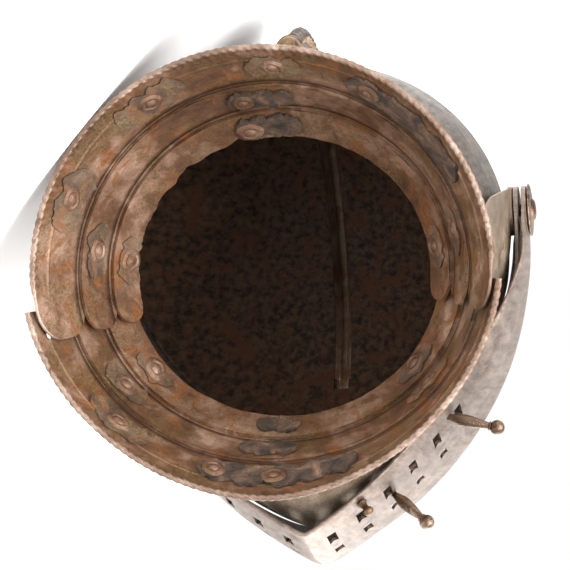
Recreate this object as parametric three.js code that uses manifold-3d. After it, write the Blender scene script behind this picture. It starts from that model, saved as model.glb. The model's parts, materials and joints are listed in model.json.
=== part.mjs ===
// A close helmet: skull with hollow comb, bevor, ventail and visor on two pivots, and six neck lames.
// Millimetres. Everything is built upright: +Y the wearer's front, +X the wearer's right, +Z up, with the
// middle of the gorget's rim at the origin. The last lines lay the finished helmet on its side.

import * as THREE from 'three';
import Module from 'manifold-3d';

const wasm = await Module();
wasm.setup();

// Plates
const plate = 1.6;
const play = 0.5;

// Half widths at the pivots: each plate nests inside the next, and the gorget's rims spread from the skull
const ventailHalfWidth = 117.5;
const visorInside = 4.1;
const bevorInside = 3.4;
const skullInside = 5;
const rimOutside = 5.9;
const frontRimOutside = 4.1;
const visorHalfWidth = ventailHalfWidth - visorInside;
const bevorHalfWidth = visorHalfWidth - bevorInside;
const skullHalfWidth = bevorHalfWidth - skullInside;
const rimHalfWidth = skullHalfWidth + rimOutside;
const frontRimHalfWidth = rimHalfWidth + frontRimOutside;

// Reach to the front: the ventail's prow stands ahead of every other edge
const prowReach = 153.5;
const chinInside = 22.5;
const rimInside = 23.5;
const footInside = 20.5;
const ventailTopInside = 13.5;
const browEdgeInside = 61;
const chinReach = prowReach - chinInside;
const rimFront = chinReach - rimInside;
const ventailEdgeReach = prowReach - footInside;
const visorFootReach = prowReach - footInside;
const ventailTopReach = prowReach - ventailTopInside;
const browEdgeReach = prowReach - browEdgeInside;

// Pivots
const pivotBack = 25;
const pivotHeight = 160;
const pivotShank = 3.2;
const pivotPlay = 0.5;
const pivotHole = pivotShank + pivotPlay;
const pivotBoss = 13;
const rosetteRadius = 14;
const rosetteRise = 4;

// The gorget, and the collars of skull and bevor round its neck lame
const gorgetHeight = 62;
const collarBelowNeck = 10.4;
const collarTopBelowNeck = 2;
const collarHeight = gorgetHeight - collarBelowNeck;
const collarTop = gorgetHeight - collarTopBelowNeck;

// Skull
const skullRear = 100;
const skullBrow = 108;
const skullAbovePivots = 18;
const skullCentreHeight = pivotHeight + skullAbovePivots;
const skullCentreBack = 13;
const crownRise = 108;
const skullFullness = 2.1;
const faceEdge = 4;
const browAbovePivots = 54;
const browHeight = pivotHeight + browAbovePivots;

// Comb on the skull
const combRise = 21;
const combHalfBase = 6.2;
const combHalfTail = 9;
const combHalfEdge = 4.6;
const combStart = 40;
const combEnd = 196;

// Plume holder below the comb
const holderHalfWidth = 9;
const holderReach = 14;
const holderLength = 12;
const holderDrop = 7;

// Gorget: its rim, and how far the rear and front rims lie to the left
const rimBack = 107.5;
const rearShift = -3;
const frontShift = -3.5;
const lameOverlap = 3;
const borderRadius = 1.5;

// Bevor
const bevorTopBelowPivots = 32;
const bevorTopHeight = pivotHeight - bevorTopBelowPivots;

// Ventail
const ventailEdgeBelowPivots = 95;
const ventailEdgeHeight = pivotHeight - ventailEdgeBelowPivots;
const prowBelowPivots = 29;
const prowHeight = pivotHeight - prowBelowPivots;
const ventailTopAbovePivots = 28;
const ventailTopHeight = pivotHeight + ventailTopAbovePivots;
const breathWidth = 4.4;
const breathLength = 12.5;
const breathPitch = 18.3;
const breathStart = 13;

// Visor
const visorFootBelowPivots = 10;
const visorFootHeight = pivotHeight - visorFootBelowPivots;
const browEdgeAbovePivots = 68;
const browEdgeHeight = pivotHeight + browEdgeAbovePivots;
const sightWidth = 62;
const sightHeight = 7;
const sightInset = 15;
const combNotch = 12.5;
const notchLift = 44;

// Lifting pegs
const pegLength = 29;
const pegRadius = 2.7;
const pegBall = 3.9;
const pegShank = 1.5;
const shankPlay = 0.3;
const pegSeat = 0.6;

// Catch stud
const studRadius = 2.8;
const studLength = 8.4;

// Rivets and leather
const rivetShank = 1.6;
const rivetHole = rivetShank + 0.3;
const washerRadius = 5.2;
const washerThick = 1;
const rivetHead = 3.4;
const leatherThick = 1.4;
const seatGap = 0.5;

// Where the gorget's lames meet, from the neck to the rim, as shares of its height, half width and reaches.
// The front lames' ends lie outside the rear lames' ends, so they are wider at the sides.
const gorgetEdges = [
  { height: 1.0, rearWidth: 0.663, back: 0.637, frontWidth: 0.682, front: 0.67, fullness: 2 },
  { height: 0.742, rearWidth: 0.762, back: 0.749, frontWidth: 0.793, front: 0.761, fullness: 2 },
  { height: 0.435, rearWidth: 0.861, back: 0.851, frontWidth: 0.886, front: 0.85, fullness: 2 },
  { height: 0.0, rearWidth: 1.0, back: 1.0, frontWidth: 1.0, front: 1.0, fullness: 1.85 },
];

// The skull between its collar on the neck lame and its widest height: share of the way up, then shares of
// half width and of rear reach, and of how far the section's centre lies back
const skullNeck = [
  { rise: 0, width: 0.757, rear: 0.747, back: 0 },
  { rise: 0.09, width: 0.802, rear: 0.775, back: 0.15 },
  { rise: 0.21, width: 0.872, rear: 0.848, back: 0.55 },
  { rise: 0.43, width: 0.94, rear: 0.925, back: 1 },
  { rise: 0.68, width: 0.986, rear: 0.98, back: 1 },
  { rise: 1, width: 1, rear: 1, back: 1 },
];

// The bevor from its neck edge up: share of the way to the pivots, then shares of half width and chin
// reach, how far its centre lies back as a share of the pivots', and the bluntness of its keel
const bevorSections = [
  { rise: 0, width: 0.774, reach: 0.59, back: 0, blunt: 1 },
  { rise: 0.05, width: 0.785, reach: 0.72, back: 0.06, blunt: 0.8 },
  { rise: 0.16, width: 0.862, reach: 0.93, back: 0.4, blunt: 0.35 },
  { rise: 0.34, width: 0.911, reach: 1, back: 0.8, blunt: 0.1 },
  { rise: 0.5, width: 0.946, reach: 0.99, back: 1, blunt: 0.1 },
  { rise: 0.74, width: 0.984, reach: 0.93, back: 1, blunt: 0.2 },
  { rise: 1, width: 1, reach: 0.86, back: 1, blunt: 0.3 },
];

// Half plan of a keeled face plate, from its arm at the pivot to its keel, as shares of half width and reach
const keelPlan = [
  [0, 1], [0.18, 0.983], [0.28, 0.945], [0.47, 0.825], [0.675, 0.6], [0.848, 0.33], [0.94, 0.14], [1, 0],
];

// Edges of the face plates: share of the reach, then the angle about the pivots in degrees
const ventailLow = [[0.07, -105], [0.12, -62], [0.2, -46.5], [0.5, -43.5], [0.71, -37.6], [0.86, -34], [1, -31]];
const ventailHigh = [[0.07, 75], [0.12, 45], [0.2, 30], [0.4, 17], [0.7, 10], [1, 9.6]];
const visorLow = [[0.07, -105], [0.13, -45], [0.25, -22], [0.6, -8], [1, -3.6]];
const visorHigh = [[0.07, 75], [0.13, 70], [0.3, 55], [0.6, 40], [0.85, 33], [1, 30.1]];

// Rivets: which lame they hold, their angle from the back in degrees, their share of the visible band's
// height, and whether leather lies under the inner washer
const rivets = [
  { name: 'rivet_rear_neck_left', front: false, lame: 0, turn: -81.5, share: 0.57, leather: false },
  { name: 'rivet_rear_neck_middle', front: false, lame: 0, turn: -9, share: 0.57, leather: true },
  { name: 'rivet_rear_neck_right', front: false, lame: 0, turn: 84.5, share: 0.57, leather: false },
  { name: 'rivet_rear_middle_left', front: false, lame: 1, turn: -79, share: 0.5, leather: false },
  { name: 'rivet_rear_middle_back', front: false, lame: 1, turn: -7, share: 0.5, leather: true },
  { name: 'rivet_rear_middle_right', front: false, lame: 1, turn: 81, share: 0.5, leather: false },
  { name: 'rivet_rear_rim_left', front: false, lame: 2, turn: -65.5, share: 0.5, leather: false },
  { name: 'rivet_rear_rim_back_left', front: false, lame: 2, turn: -30.5, share: 0.5, leather: false },
  { name: 'rivet_rear_rim_back', front: false, lame: 2, turn: 6, share: 0.5, leather: false },
  { name: 'rivet_rear_rim_right', front: false, lame: 2, turn: 34, share: 0.5, leather: true },
  { name: 'rivet_front_neck_left', front: true, lame: 0, turn: 237, share: 0.57, leather: false },
  { name: 'rivet_front_neck_right', front: true, lame: 0, turn: 128.5, share: 0.57, leather: false },
  { name: 'rivet_front_middle_left', front: true, lame: 1, turn: 237.5, share: 0.5, leather: false },
  { name: 'rivet_front_middle_right', front: true, lame: 1, turn: 129.5, share: 0.5, leather: false },
  { name: 'rivet_front_rim_left', front: true, lame: 2, turn: 229, share: 0.5, leather: false },
  { name: 'rivet_front_rim_middle_left', front: true, lame: 2, turn: 199, share: 0.5, leather: true },
  { name: 'rivet_front_rim_middle', front: true, lame: 2, turn: 181.5, share: 0.5, leather: true },
];

// What is left of the leathers: lame, angles from the back, and span of the visible band
const leathers = [
  { name: 'leather_rear_rim', front: false, lame: 2, from: 27, to: 69, low: 0.22, high: 0.8 },
  { name: 'leather_rear_middle', front: false, lame: 1, from: -12, to: 10, low: 0.15, high: 0.85 },
  { name: 'leather_rear_neck', front: false, lame: 0, from: -14, to: 12, low: 0.12, high: 0.85 },
  { name: 'leather_front_rim', front: true, lame: 2, from: 157, to: 204, low: 0.25, high: 0.82 },
  { name: 'leather_front_middle', front: true, lame: 1, from: 177, to: 196, low: 0.15, high: 0.8 },
  { name: 'leather_front_neck', front: true, lame: 0, from: 177, to: 194, low: 0.2, high: 0.8 },
];

// How it lies: turn about the neck axis, then tip of that axis, in degrees
const lieTurn = -133.503;
const lieTip = -90.445;

// Mesh fineness
const ringSteps = 32;
const lameSteps = 22;
const faceSteps = 10;

const deg = Math.PI / 180;
const lerp = THREE.MathUtils.lerp;
const vec = (x, y, z) => new THREE.Vector3(x, y, z);
const rearEnd = 104 * deg;
const frontEnd = 95.5 * deg;
const endRound = 9 * deg;

// Value of column `key` in a table of rows at position t of column `by`
function along(rows, by, key, t) {
  let i = 1;
  while (i < rows.length - 1 && (rows[i][by] - t) * (rows[i][by] - rows[0][by]) < 0) i += 1;
  const share = (t - rows[i - 1][by]) / (rows[i][by] - rows[i - 1][by]);
  return lerp(rows[i - 1][key], rows[i][key], THREE.MathUtils.clamp(share, 0, 1));
}

// Solid from triangles given as lists of points: equal points are merged and empty triangles dropped
function solidOf(triangles) {
  const index = new Map();
  const xyz = [];
  const corners = [];
  const corner = (p) => {
    const key = `${Math.round(p.x * 1e4)},${Math.round(p.y * 1e4)},${Math.round(p.z * 1e4)}`;
    if (!index.has(key)) {
      index.set(key, index.size);
      xyz.push(p.x, p.y, p.z);
    }
    return index.get(key);
  };
  let volume = 0;
  for (const [a, b, c] of triangles) {
    const ids = [corner(a), corner(b), corner(c)];
    if (new Set(ids).size === 3) corners.push(ids);
    volume += a.dot(b.clone().cross(c));
  }
  if (volume < 0) corners.forEach((ids) => ids.reverse());
  const mesh = new wasm.Mesh({
    numProp: 3,
    vertProperties: new Float32Array(xyz),
    triVerts: new Uint32Array(corners.flat()),
  });
  return new wasm.Manifold(mesh);
}

function addQuad(triangles, a, b, c, d) {
  triangles.push([a, b, c], [a, c, d]);
}

// Solid through a list of closed sections with the same number of points, closed by a fan at each end
function loft(sections) {
  const triangles = [];
  const count = sections[0].length;
  for (let i = 0; i + 1 < sections.length; i += 1) {
    for (let j = 0; j < count; j += 1) {
      const k = (j + 1) % count;
      addQuad(triangles, sections[i][j], sections[i][k], sections[i + 1][k], sections[i + 1][j]);
    }
  }
  const close = (ring) => {
    const middle = ring.reduce((sum, p) => sum.add(p), vec(0, 0, 0)).divideScalar(count);
    ring.forEach((p, j) => triangles.push([middle, ring[(j + 1) % count], p]));
  };
  close(sections[0]);
  close([...sections.at(-1)].reverse());
  return solidOf(triangles);
}

// Plate of even thickness behind the face surface(u, v), u and v from 0 to 1. `inward` is +1 or -1
function sheet(surface, columns, rows, inward, thick = plate, set = 0) {
  const step = 1e-3;
  const outer = [];
  const inner = [];
  for (let i = 0; i <= rows; i += 1) {
    outer.push([]);
    inner.push([]);
    for (let j = 0; j <= columns; j += 1) {
      const u = j / columns;
      const v = i / rows;
      const du = surface(Math.min(u + step, 1), v).sub(surface(Math.max(u - step, 0), v));
      const dv = surface(u, Math.min(v + step, 1)).sub(surface(u, Math.max(v - step, 0)));
      const normal = du.cross(dv).normalize().multiplyScalar(inward);
      outer[i].push(surface(u, v).addScaledVector(normal, set));
      inner[i].push(surface(u, v).addScaledVector(normal, set + thick));
    }
  }
  const triangles = [];
  for (let i = 0; i < rows; i += 1) {
    for (let j = 0; j < columns; j += 1) {
      addQuad(triangles, outer[i][j], outer[i][j + 1], outer[i + 1][j + 1], outer[i + 1][j]);
      addQuad(triangles, inner[i][j], inner[i + 1][j], inner[i + 1][j + 1], inner[i][j + 1]);
    }
    addQuad(triangles, outer[i][0], outer[i + 1][0], inner[i + 1][0], inner[i][0]);
    addQuad(triangles, outer[i + 1][columns], outer[i][columns], inner[i][columns], inner[i + 1][columns]);
  }
  for (let j = 0; j < columns; j += 1) {
    addQuad(triangles, outer[0][j + 1], outer[0][j], inner[0][j], inner[0][j + 1]);
    addQuad(triangles, outer[rows][j], outer[rows][j + 1], inner[rows][j + 1], inner[rows][j]);
  }
  return solidOf(triangles);
}

// Solid of a closed three.js geometry, moved by a matrix
function solidFrom(geometry, matrix = new THREE.Matrix4()) {
  const flat = geometry.index ? geometry.toNonIndexed() : geometry;
  const place = flat.attributes.position;
  const points = [];
  for (let i = 0; i < place.count; i += 1) {
    points.push(new THREE.Vector3().fromBufferAttribute(place, i).applyMatrix4(matrix));
  }
  const triangles = [];
  for (let i = 0; i < points.length; i += 3) triangles.push(points.slice(i, i + 3));
  return solidOf(triangles);
}

// Matrix that stands +Y on `direction` at `origin`, with +Z turned towards `up`
function stand(origin, direction, up = vec(0, 0, 1)) {
  const y = direction.clone().normalize();
  const x = y.clone().cross(up).normalize();
  const z = x.clone().cross(y);
  return new THREE.Matrix4().makeBasis(x, y, z).setPosition(origin);
}

const atPivot = (side, x) => stand(vec(side * x, -pivotBack, pivotHeight), vec(side, 0, 0));

const steel = new THREE.MeshStandardMaterial({ color: 0x8c8078, roughness: 0.45, metalness: 0.9 });
const rusted = new THREE.MeshStandardMaterial({ color: 0x6b4a3a, roughness: 0.7, metalness: 0.6 });
const brass = new THREE.MeshStandardMaterial({ color: 0xa88f63, roughness: 0.5, metalness: 0.8 });
const hide = new THREE.MeshStandardMaterial({ color: 0x3d352e, roughness: 0.9, metalness: 0 });

const upright = new THREE.Group();

function addPiece(name, solid, material) {
  const mesh = solid.getMesh();
  const geometry = new THREE.BufferGeometry();
  geometry.setAttribute('position', new THREE.BufferAttribute(new Float32Array(mesh.vertProperties), 3));
  geometry.setIndex(new THREE.BufferAttribute(new Uint32Array(mesh.triVerts), 1));
  const piece = new THREE.Mesh(geometry, material);
  piece.name = name;
  upright.add(piece);
}

// Inner face of lame k, counted from the neck, at a height: one half width or reach by its column and full size
function flare(k, height, key, full) {
  const low = gorgetEdges[k + 1];
  const high = gorgetEdges[k];
  const lowAt = low.height * gorgetHeight;
  const highAt = high.height * gorgetHeight;
  const slant = Math.hypot(1, (full * (low[key] - high[key])) / (highAt - lowAt));
  const step = k === 0 ? 0 : (plate + play) * slant;
  if (k > 0 && height > highAt) return flare(k - 1, height, key, full) + step;
  return lerp(full * low[key], full * high[key] + step, (height - lowAt) / (highAt - lowAt));
}

// Outer face of a collar that lies on the neck lame
function collar(height, key, full) {
  const drop = flare(0, 0, key, full) - flare(0, 1, key, full);
  return flare(0, height, key, full) + (2 * plate + play) * Math.hypot(1, drop);
}

// Skull: its half width, reaches and centre at a height, moved in by `wall`
function skullSection(height, wall) {
  if (height < collarTop) {
    return {
      halfWidth: collar(height, 'rearWidth', rimHalfWidth) - wall * 1.2,
      rear: collar(height, 'back', rimBack) - wall * 1.2,
      brow: collar(height, 'front', rimFront) - wall * 1.2,
      centre: 0,
    };
  }
  const rise = (height - collarTop) / (skullCentreHeight - collarTop);
  const low = (key) => along(skullNeck, 'rise', key, rise);
  const crown = Math.max(0, (height - skullCentreHeight) / (crownRise - wall));
  const narrow = Math.sqrt(Math.max(0, 1 - crown * crown));
  return {
    halfWidth: (skullHalfWidth * low('width') - wall) * narrow,
    rear: (skullRear * low('rear') - wall) * narrow,
    brow: (skullBrow * low('rear') - wall) * narrow,
    centre: -skullCentreBack * low('back'),
  };
}

function superRadius(dx, dy, a, b, power) {
  return (Math.abs(dx / a) ** power + Math.abs(dy / b) ** power) ** (-1 / power);
}

function skullRing(height, wall) {
  const s = skullSection(height, wall);
  return Array.from({ length: ringSteps }, (_, i) => {
    const turn = (i / ringSteps) * 2 * Math.PI;
    const [dx, dy] = [Math.sin(turn), -Math.cos(turn)];
    const size = s.halfWidth < 0.01 ? 0 : superRadius(dx, dy, s.halfWidth, dy < 0 ? s.rear : s.brow, skullFullness);
    return vec(dx * size, s.centre + dy * size, height);
  });
}

function skullDome(wall, drop) {
  const heights = [collarHeight, ...skullNeck.map((row) => lerp(collarTop, skullCentreHeight, row.rise))];
  for (const lift of [16, 32, 47, 61, 74, 84]) {
    heights.push(skullCentreHeight + (crownRise - wall) * Math.sin(lift * deg));
  }
  heights.push(skullCentreHeight + crownRise - wall - 1e-3);
  const rings = heights.map((height) => skullRing(height, wall));
  if (drop > 0) rings.unshift(rings[0].map((p) => vec(p.x, p.y, p.z - drop)));
  return loft(rings);
}

// Middle line of the skull at an angle up from the front, with the direction out of it
function crest(turn) {
  const reachUp = turn <= 180 ? crownRise : skullCentreHeight - collarTop;
  const height = skullCentreHeight + reachUp * Math.sin(turn * deg);
  const s = skullSection(height, 0);
  const y = s.centre + (turn < 90 ? s.brow : -s.rear);
  return vec(0, y, height);
}

// Rise of the comb above the skull, growing from its ends
function combHeight(turn) {
  const front = THREE.MathUtils.smoothstep(turn, combStart - 8, combStart + 45);
  const rear = 1 - 0.25 * THREE.MathUtils.smoothstep(turn, 175, combEnd);
  return combRise * front * rear;
}

function combSolid(wall) {
  const steps = wall > 0 ? 9 : 12;
  const sections = [];
  for (let i = 0; i <= steps; i += 1) {
    const inset = wall > 0 ? 3 : 0;
    const turn = lerp(combStart + inset, combEnd - inset, i / steps);
    const base = crest(turn);
    const ahead = crest(turn + 1).sub(crest(turn - 1)).normalize();
    const out = vec(0, -ahead.z, ahead.y).multiplyScalar(-1);
    if (out.dot(vec(0, base.y + skullCentreBack, base.z - skullCentreHeight)) < 0) out.negate();
    const top = Math.max(combHeight(turn) - wall, 1);
    const at = (x, lift) => base.clone().addScaledVector(out, lift).add(vec(x, 0, 0));
    const foot = lerp(combHalfBase, combHalfTail, THREE.MathUtils.smoothstep(turn, 130, combEnd)) - wall;
    const edge = combHalfEdge - wall;
    const neck = edge * 0.72;
    const sink = -6;
    sections.push([
      at(foot, sink), at(foot, 0), at(neck, top * 0.5), at(edge, top - edge), at(edge * 0.6, top),
      at(-edge * 0.6, top), at(-edge, top - edge), at(-neck, top * 0.5), at(-foot, 0), at(-foot, sink),
    ]);
  }
  return loft(sections);
}

// Side outline of the face opening, cut through the skull from side to side
function faceCut() {
  const ahead = skullBrow + 40;
  const outline = new THREE.Shape();
  outline.moveTo(faceEdge, collarHeight - 20);
  outline.lineTo(faceEdge, pivotHeight - 10);
  outline.quadraticCurveTo(faceEdge, browHeight - 22, faceEdge + 22, browHeight - 16);
  outline.quadraticCurveTo(faceEdge + 48, browHeight, ahead, browHeight);
  outline.lineTo(ahead, collarHeight - 20);
  const width = 2 * skullHalfWidth + 40;
  const block = new THREE.ExtrudeGeometry(outline, { depth: width, bevelEnabled: false, curveSegments: 6 });
  const turned = new THREE.Matrix4().makeBasis(vec(0, 1, 0), vec(0, 0, 1), vec(1, 0, 0)).setPosition(-width / 2, 0, 0);
  return solidFrom(block, turned);
}

function pivotDrill(radius = pivotHole) {
  const drill = new THREE.CylinderGeometry(radius, radius, 3 * ventailHalfWidth, 8);
  return solidFrom(drill, stand(vec(0, -pivotBack, pivotHeight), vec(1, 0, 0)));
}

function skull() {
  return skullDome(0, 0)
    .add(combSolid(0))
    .subtract(skullDome(plate, 4))
    .subtract(combSolid(plate))
    .subtract(faceCut())
    .subtract(pivotDrill())
    .subtract(neckDrills(false));
}
addPiece('skull', skull(), steel);

// Half-round plume holder, closed below, standing on the nape under the comb
function plumeHolder() {
  const top = crest(combEnd).z - holderDrop;
  const nape = (height) => {
    const s = skullSection(height, 0);
    return s.centre - s.rear - seatGap;
  };
  const outline = (height, grow) => {
    const y = nape(height);
    const points = [];
    for (let i = 0; i <= 8; i += 1) {
      const turn = (i / 8) * Math.PI;
      points.push(vec((holderHalfWidth - grow) * Math.cos(turn), y - (holderReach - grow) * Math.sin(turn), height));
    }
    points[0].y -= grow;
    points[8].y -= grow;
    return points;
  };
  const foot = top - holderLength;
  const whole = loft([outline(foot, 2.5), outline(foot + 3, 0), outline((foot + top) / 2, 0), outline(top, 0)]);
  return whole.subtract(loft([outline(foot + 2 * plate, plate + 1), outline(top + 1, plate)]));
}
addPiece('plume_holder', plumeHolder(), brass);

// Point on the inner face of a lame at an angle from the back
function lamePoint(front, k, height, turn) {
  const [dx, dy] = [Math.sin(turn), -Math.cos(turn)];
  const halfWidth = front
    ? flare(k, height, 'frontWidth', frontRimHalfWidth)
    : flare(k, height, 'rearWidth', rimHalfWidth);
  const reach = dy < 0 ? flare(k, height, 'back', rimBack) : flare(k, height, 'front', rimFront);
  const fullness = front ? along(gorgetEdges, 'height', 'fullness', height / gorgetHeight) : 2;
  const size = superRadius(dx, dy, halfWidth, reach, fullness);
  const shiftTop = gorgetEdges[1].height * gorgetHeight;
  const shift = (front ? frontShift : rearShift) * Math.max(0, 1 - height / shiftTop);
  return vec(dx * size + shift, dy * size, height);
}

// Lower and upper height of a lame at an angle: rear lames have rounded ends
function lameSpan(front, k, turn) {
  const low = gorgetEdges[k + 1].height * gorgetHeight;
  const high = gorgetEdges[k].height * gorgetHeight + (k > 0 ? lameOverlap : 0);
  if (front) return [low, high];
  const t = Math.max(0, (Math.abs(turn) - (rearEnd - endRound)) / endRound);
  const round = 1 - Math.sqrt(Math.max(0, 1 - t * t));
  return [low + 0.42 * (high - low) * round, high - 0.42 * (high - low) * round];
}

const bandRise = (k) => (gorgetEdges[k].height - gorgetEdges[k + 1].height) * gorgetHeight;

function lameSurface(front, k) {
  return (u, v) => {
    const turn = front ? lerp(frontEnd, 2 * Math.PI - frontEnd, u) : lerp(-rearEnd, rearEnd, u);
    const [low, high] = lameSpan(front, k, turn);
    const bend = k === 0 ? 0.5 : bandRise(k) / (bandRise(k) + lameOverlap);
    const share = v < 0.5 ? 2 * v * bend : lerp(bend, 1, 2 * v - 1);
    return lamePoint(front, k, lerp(low, high, share), turn);
  };
}

// Outward direction of a lame at an angle and height
function lameOut(front, k, height, turn) {
  const across = lamePoint(front, k, height, turn + 0.01).sub(lamePoint(front, k, height, turn - 0.01));
  const up = lamePoint(front, k, height + 0.5, turn).sub(lamePoint(front, k, height - 0.5, turn));
  return across.cross(up).normalize();
}

// Lowest lame with a rounded border along its edge, as sections across it. The rear one has no border on
// its rounded ends
function rimSection(front, turn) {
  const [low, high] = lameSpan(front, 2, turn);
  const bend = lerp(low, high, bandRise(2) / (bandRise(2) + lameOverlap));
  const fade = front ? 1 : 1 - THREE.MathUtils.smoothstep(Math.abs(turn) / deg, 86, 94);
  const radius = lerp(plate / 2, borderRadius, fade);
  const ahead = lamePoint(front, 2, low, turn + 0.01).sub(lamePoint(front, 2, low, turn - 0.01)).normalize();
  const side = ahead.clone().cross(vec(0, 0, 1));
  const middle = lamePoint(front, 2, low, turn).addScaledVector(side, radius);
  const section = [180, 235, 290, 345, 45].map((angle) => {
    const a = angle * deg;
    return middle.clone().addScaledVector(side, radius * Math.cos(a)).add(vec(0, 0, radius * Math.sin(a)));
  });
  const outer = (height) => lamePoint(front, 2, height, turn).addScaledVector(lameOut(front, 2, height, turn), plate);
  const above = low + 2 * radius;
  section.push(outer(above), outer(bend), outer(high));
  section.push(lamePoint(front, 2, high, turn), lamePoint(front, 2, bend, turn), lamePoint(front, 2, above, turn));
  return section;
}

function rimLame(front) {
  const [from, to] = front ? [frontEnd, 2 * Math.PI - frontEnd] : [-rearEnd, rearEnd];
  const turns = Array.from({ length: lameSteps + 1 }, (_, i) => lerp(from, to, i / lameSteps));
  return loft(turns.map((turn) => rimSection(front, turn)));
}

function bandHeight(k, share) {
  return lerp(gorgetEdges[k + 1].height, gorgetEdges[k].height, share) * gorgetHeight;
}

function rivetPlace(rivet) {
  const height = bandHeight(rivet.lame, rivet.share);
  const turn = rivet.turn * deg;
  return [lamePoint(rivet.front, rivet.lame, height, turn), lameOut(rivet.front, rivet.lame, height, turn)];
}

function rivetDrill(rivet) {
  const [place, out] = rivetPlace(rivet);
  return solidFrom(new THREE.CylinderGeometry(rivetHole, rivetHole, 14, 6), stand(place, out));
}

// Holes for the neck lame's rivets, which also hold the skull or the bevor
function neckDrills(front) {
  const held = rivets.filter((rivet) => rivet.front === front && rivet.lame === 0);
  return wasm.Manifold.union(held.map(rivetDrill));
}

function rivetSolid(rivet) {
  const under = (rivet.leather ? leatherThick + seatGap : 0) + seatGap + 0.1;
  const over = (rivet.lame === 0 ? 2 * plate + play : plate) + seatGap;
  const profile = [
    [0, -under - washerThick - 0.8], [washerRadius, -under - washerThick], [washerRadius, -under],
    [rivetShank, -under], [rivetShank, over], [rivetHead, over], [0, over + 1.6],
  ].map(([x, y]) => new THREE.Vector2(x, y));
  const [place, out] = rivetPlace(rivet);
  return solidFrom(new THREE.LatheGeometry(profile, 6), stand(place, out));
}

function lame(front, k) {
  let solid = k === 2 ? rimLame(front) : sheet(lameSurface(front, k), lameSteps, 2, 1);
  for (const rivet of rivets) {
    if (rivet.front === front && rivet.lame === k) solid = solid.subtract(rivetDrill(rivet));
  }
  if (front && k === 2) {
    const place = lamePoint(true, 2, 9, 258 * deg);
    const drill = new THREE.CylinderGeometry(2.3, 2.3, 14, 8);
    solid = solid.subtract(solidFrom(drill, stand(place, lameOut(true, 2, 9, 258 * deg))));
  }
  return solid;
}
for (const k of [0, 1, 2]) {
  addPiece(`rear_lame_${k + 1}`, lame(false, k), rusted);
  addPiece(`front_lame_${k + 1}`, lame(true, k), rusted);
}
rivets.forEach((rivet) => addPiece(rivet.name, rivetSolid(rivet), rusted));

function leather(strip) {
  const surface = (u, v) => {
    const turn = lerp(strip.from, strip.to, u) * deg;
    return lamePoint(strip.front, strip.lame, bandHeight(strip.lame, lerp(strip.low, strip.high, v)), turn);
  };
  let solid = sheet(surface, Math.ceil((strip.to - strip.from) / 8), 1, -1, leatherThick, seatGap);
  for (const rivet of rivets) {
    if (rivet.front === strip.front && rivet.lame === strip.lame) solid = solid.subtract(rivetDrill(rivet));
  }
  return solid;
}
leathers.forEach((strip) => addPiece(strip.name, leather(strip), hide));

// Half width of a keeled or rounded plate, as a share, where its reach has fallen to a share
function planWidth(share, blunt, power = 2.3) {
  let i = 1;
  while (i < keelPlan.length - 1 && keelPlan[i][0] < share) i += 1;
  const t = (share - keelPlan[i - 1][0]) / (keelPlan[i][0] - keelPlan[i - 1][0]);
  const keeled = lerp(keelPlan[i - 1][1], keelPlan[i][1], THREE.MathUtils.clamp(t, 0, 1));
  const round = Math.max(0, 1 - share ** power) ** (1 / power);
  return lerp(keeled, round, blunt);
}

// Share of the reach at step u across a plate, 0 at the wearer's left arm, 1/2 at the keel
function reachShare(u, least) {
  return lerp(least, 1, Math.cos((u - 0.5) * Math.PI));
}

// Boss around the pivot, joined to both arms of a face plate
function bosses(halfWidth) {
  const thick = plate + 1;
  const disc = new THREE.CylinderGeometry(pivotBoss, pivotBoss, thick, 12);
  return solidFrom(disc, atPivot(1, halfWidth - thick / 2)).add(solidFrom(disc, atPivot(-1, halfWidth - thick / 2)));
}

// Bevor, by level sections above its collar on the neck lame
function bevorSurface(u, v) {
  const side = Math.sign(u - 0.5);
  const across = Math.abs(u - 0.5) * 2;
  const top = lerp(bevorTopHeight, pivotHeight + pivotBoss * 0.8, across ** 6);
  const height = v < 1 / 7 ? lerp(collarHeight, collarTop, v * 7) : lerp(collarTop, top, (v * 7 - 1) / 6);
  const rise = Math.max(0, (height - collarTop) / (pivotHeight - collarTop));
  const row = (key) => along(bevorSections, 'rise', key, rise);
  const onLame = height < collarTop;
  const halfWidth = onLame ? collar(height, 'frontWidth', frontRimHalfWidth) : bevorHalfWidth * row('width');
  const reach = onLame ? collar(height, 'front', rimFront) : chinReach * row('reach');
  const centre = -pivotBack * row('back');
  const wrap = lerp(2, 12, THREE.MathUtils.smoothstep(rise, 0, 1));
  const share = Math.cos(across * Math.PI / 2);
  const y = centre + (reach - centre) * share - wrap * across ** 6;
  const power = lerp(2, 2.3, THREE.MathUtils.smoothstep(rise, 0, 0.3));
  return vec(side * halfWidth * planWidth(share, row('blunt'), power), y, height);
}

function bevor() {
  return sheet(bevorSurface, 2 * faceSteps, 7, 1)
    .add(bosses(bevorHalfWidth + 0.2))
    .subtract(pivotDrill())
    .subtract(neckDrills(true));
}
addPiece('bevor', bevor(), steel);

// Reach from the pivots along an angle to a keel line given by its points in the middle plane
function keelReach(points, turn) {
  const rel = points.map(([y, z]) => [y + pivotBack, z - pivotHeight]);
  let i = 1;
  while (i < rel.length - 1 && Math.atan2(rel[i][1], rel[i][0]) < turn) i += 1;
  const [ay, az] = rel[i - 1];
  const [by, bz] = rel[i];
  const clamped = THREE.MathUtils.clamp(turn, Math.atan2(az, ay), Math.atan2(bz, by));
  const [dy, dz] = [Math.cos(clamped), Math.sin(clamped)];
  return (ay * bz - az * by) / (dy * (bz - az) - dz * (by - ay));
}

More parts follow.
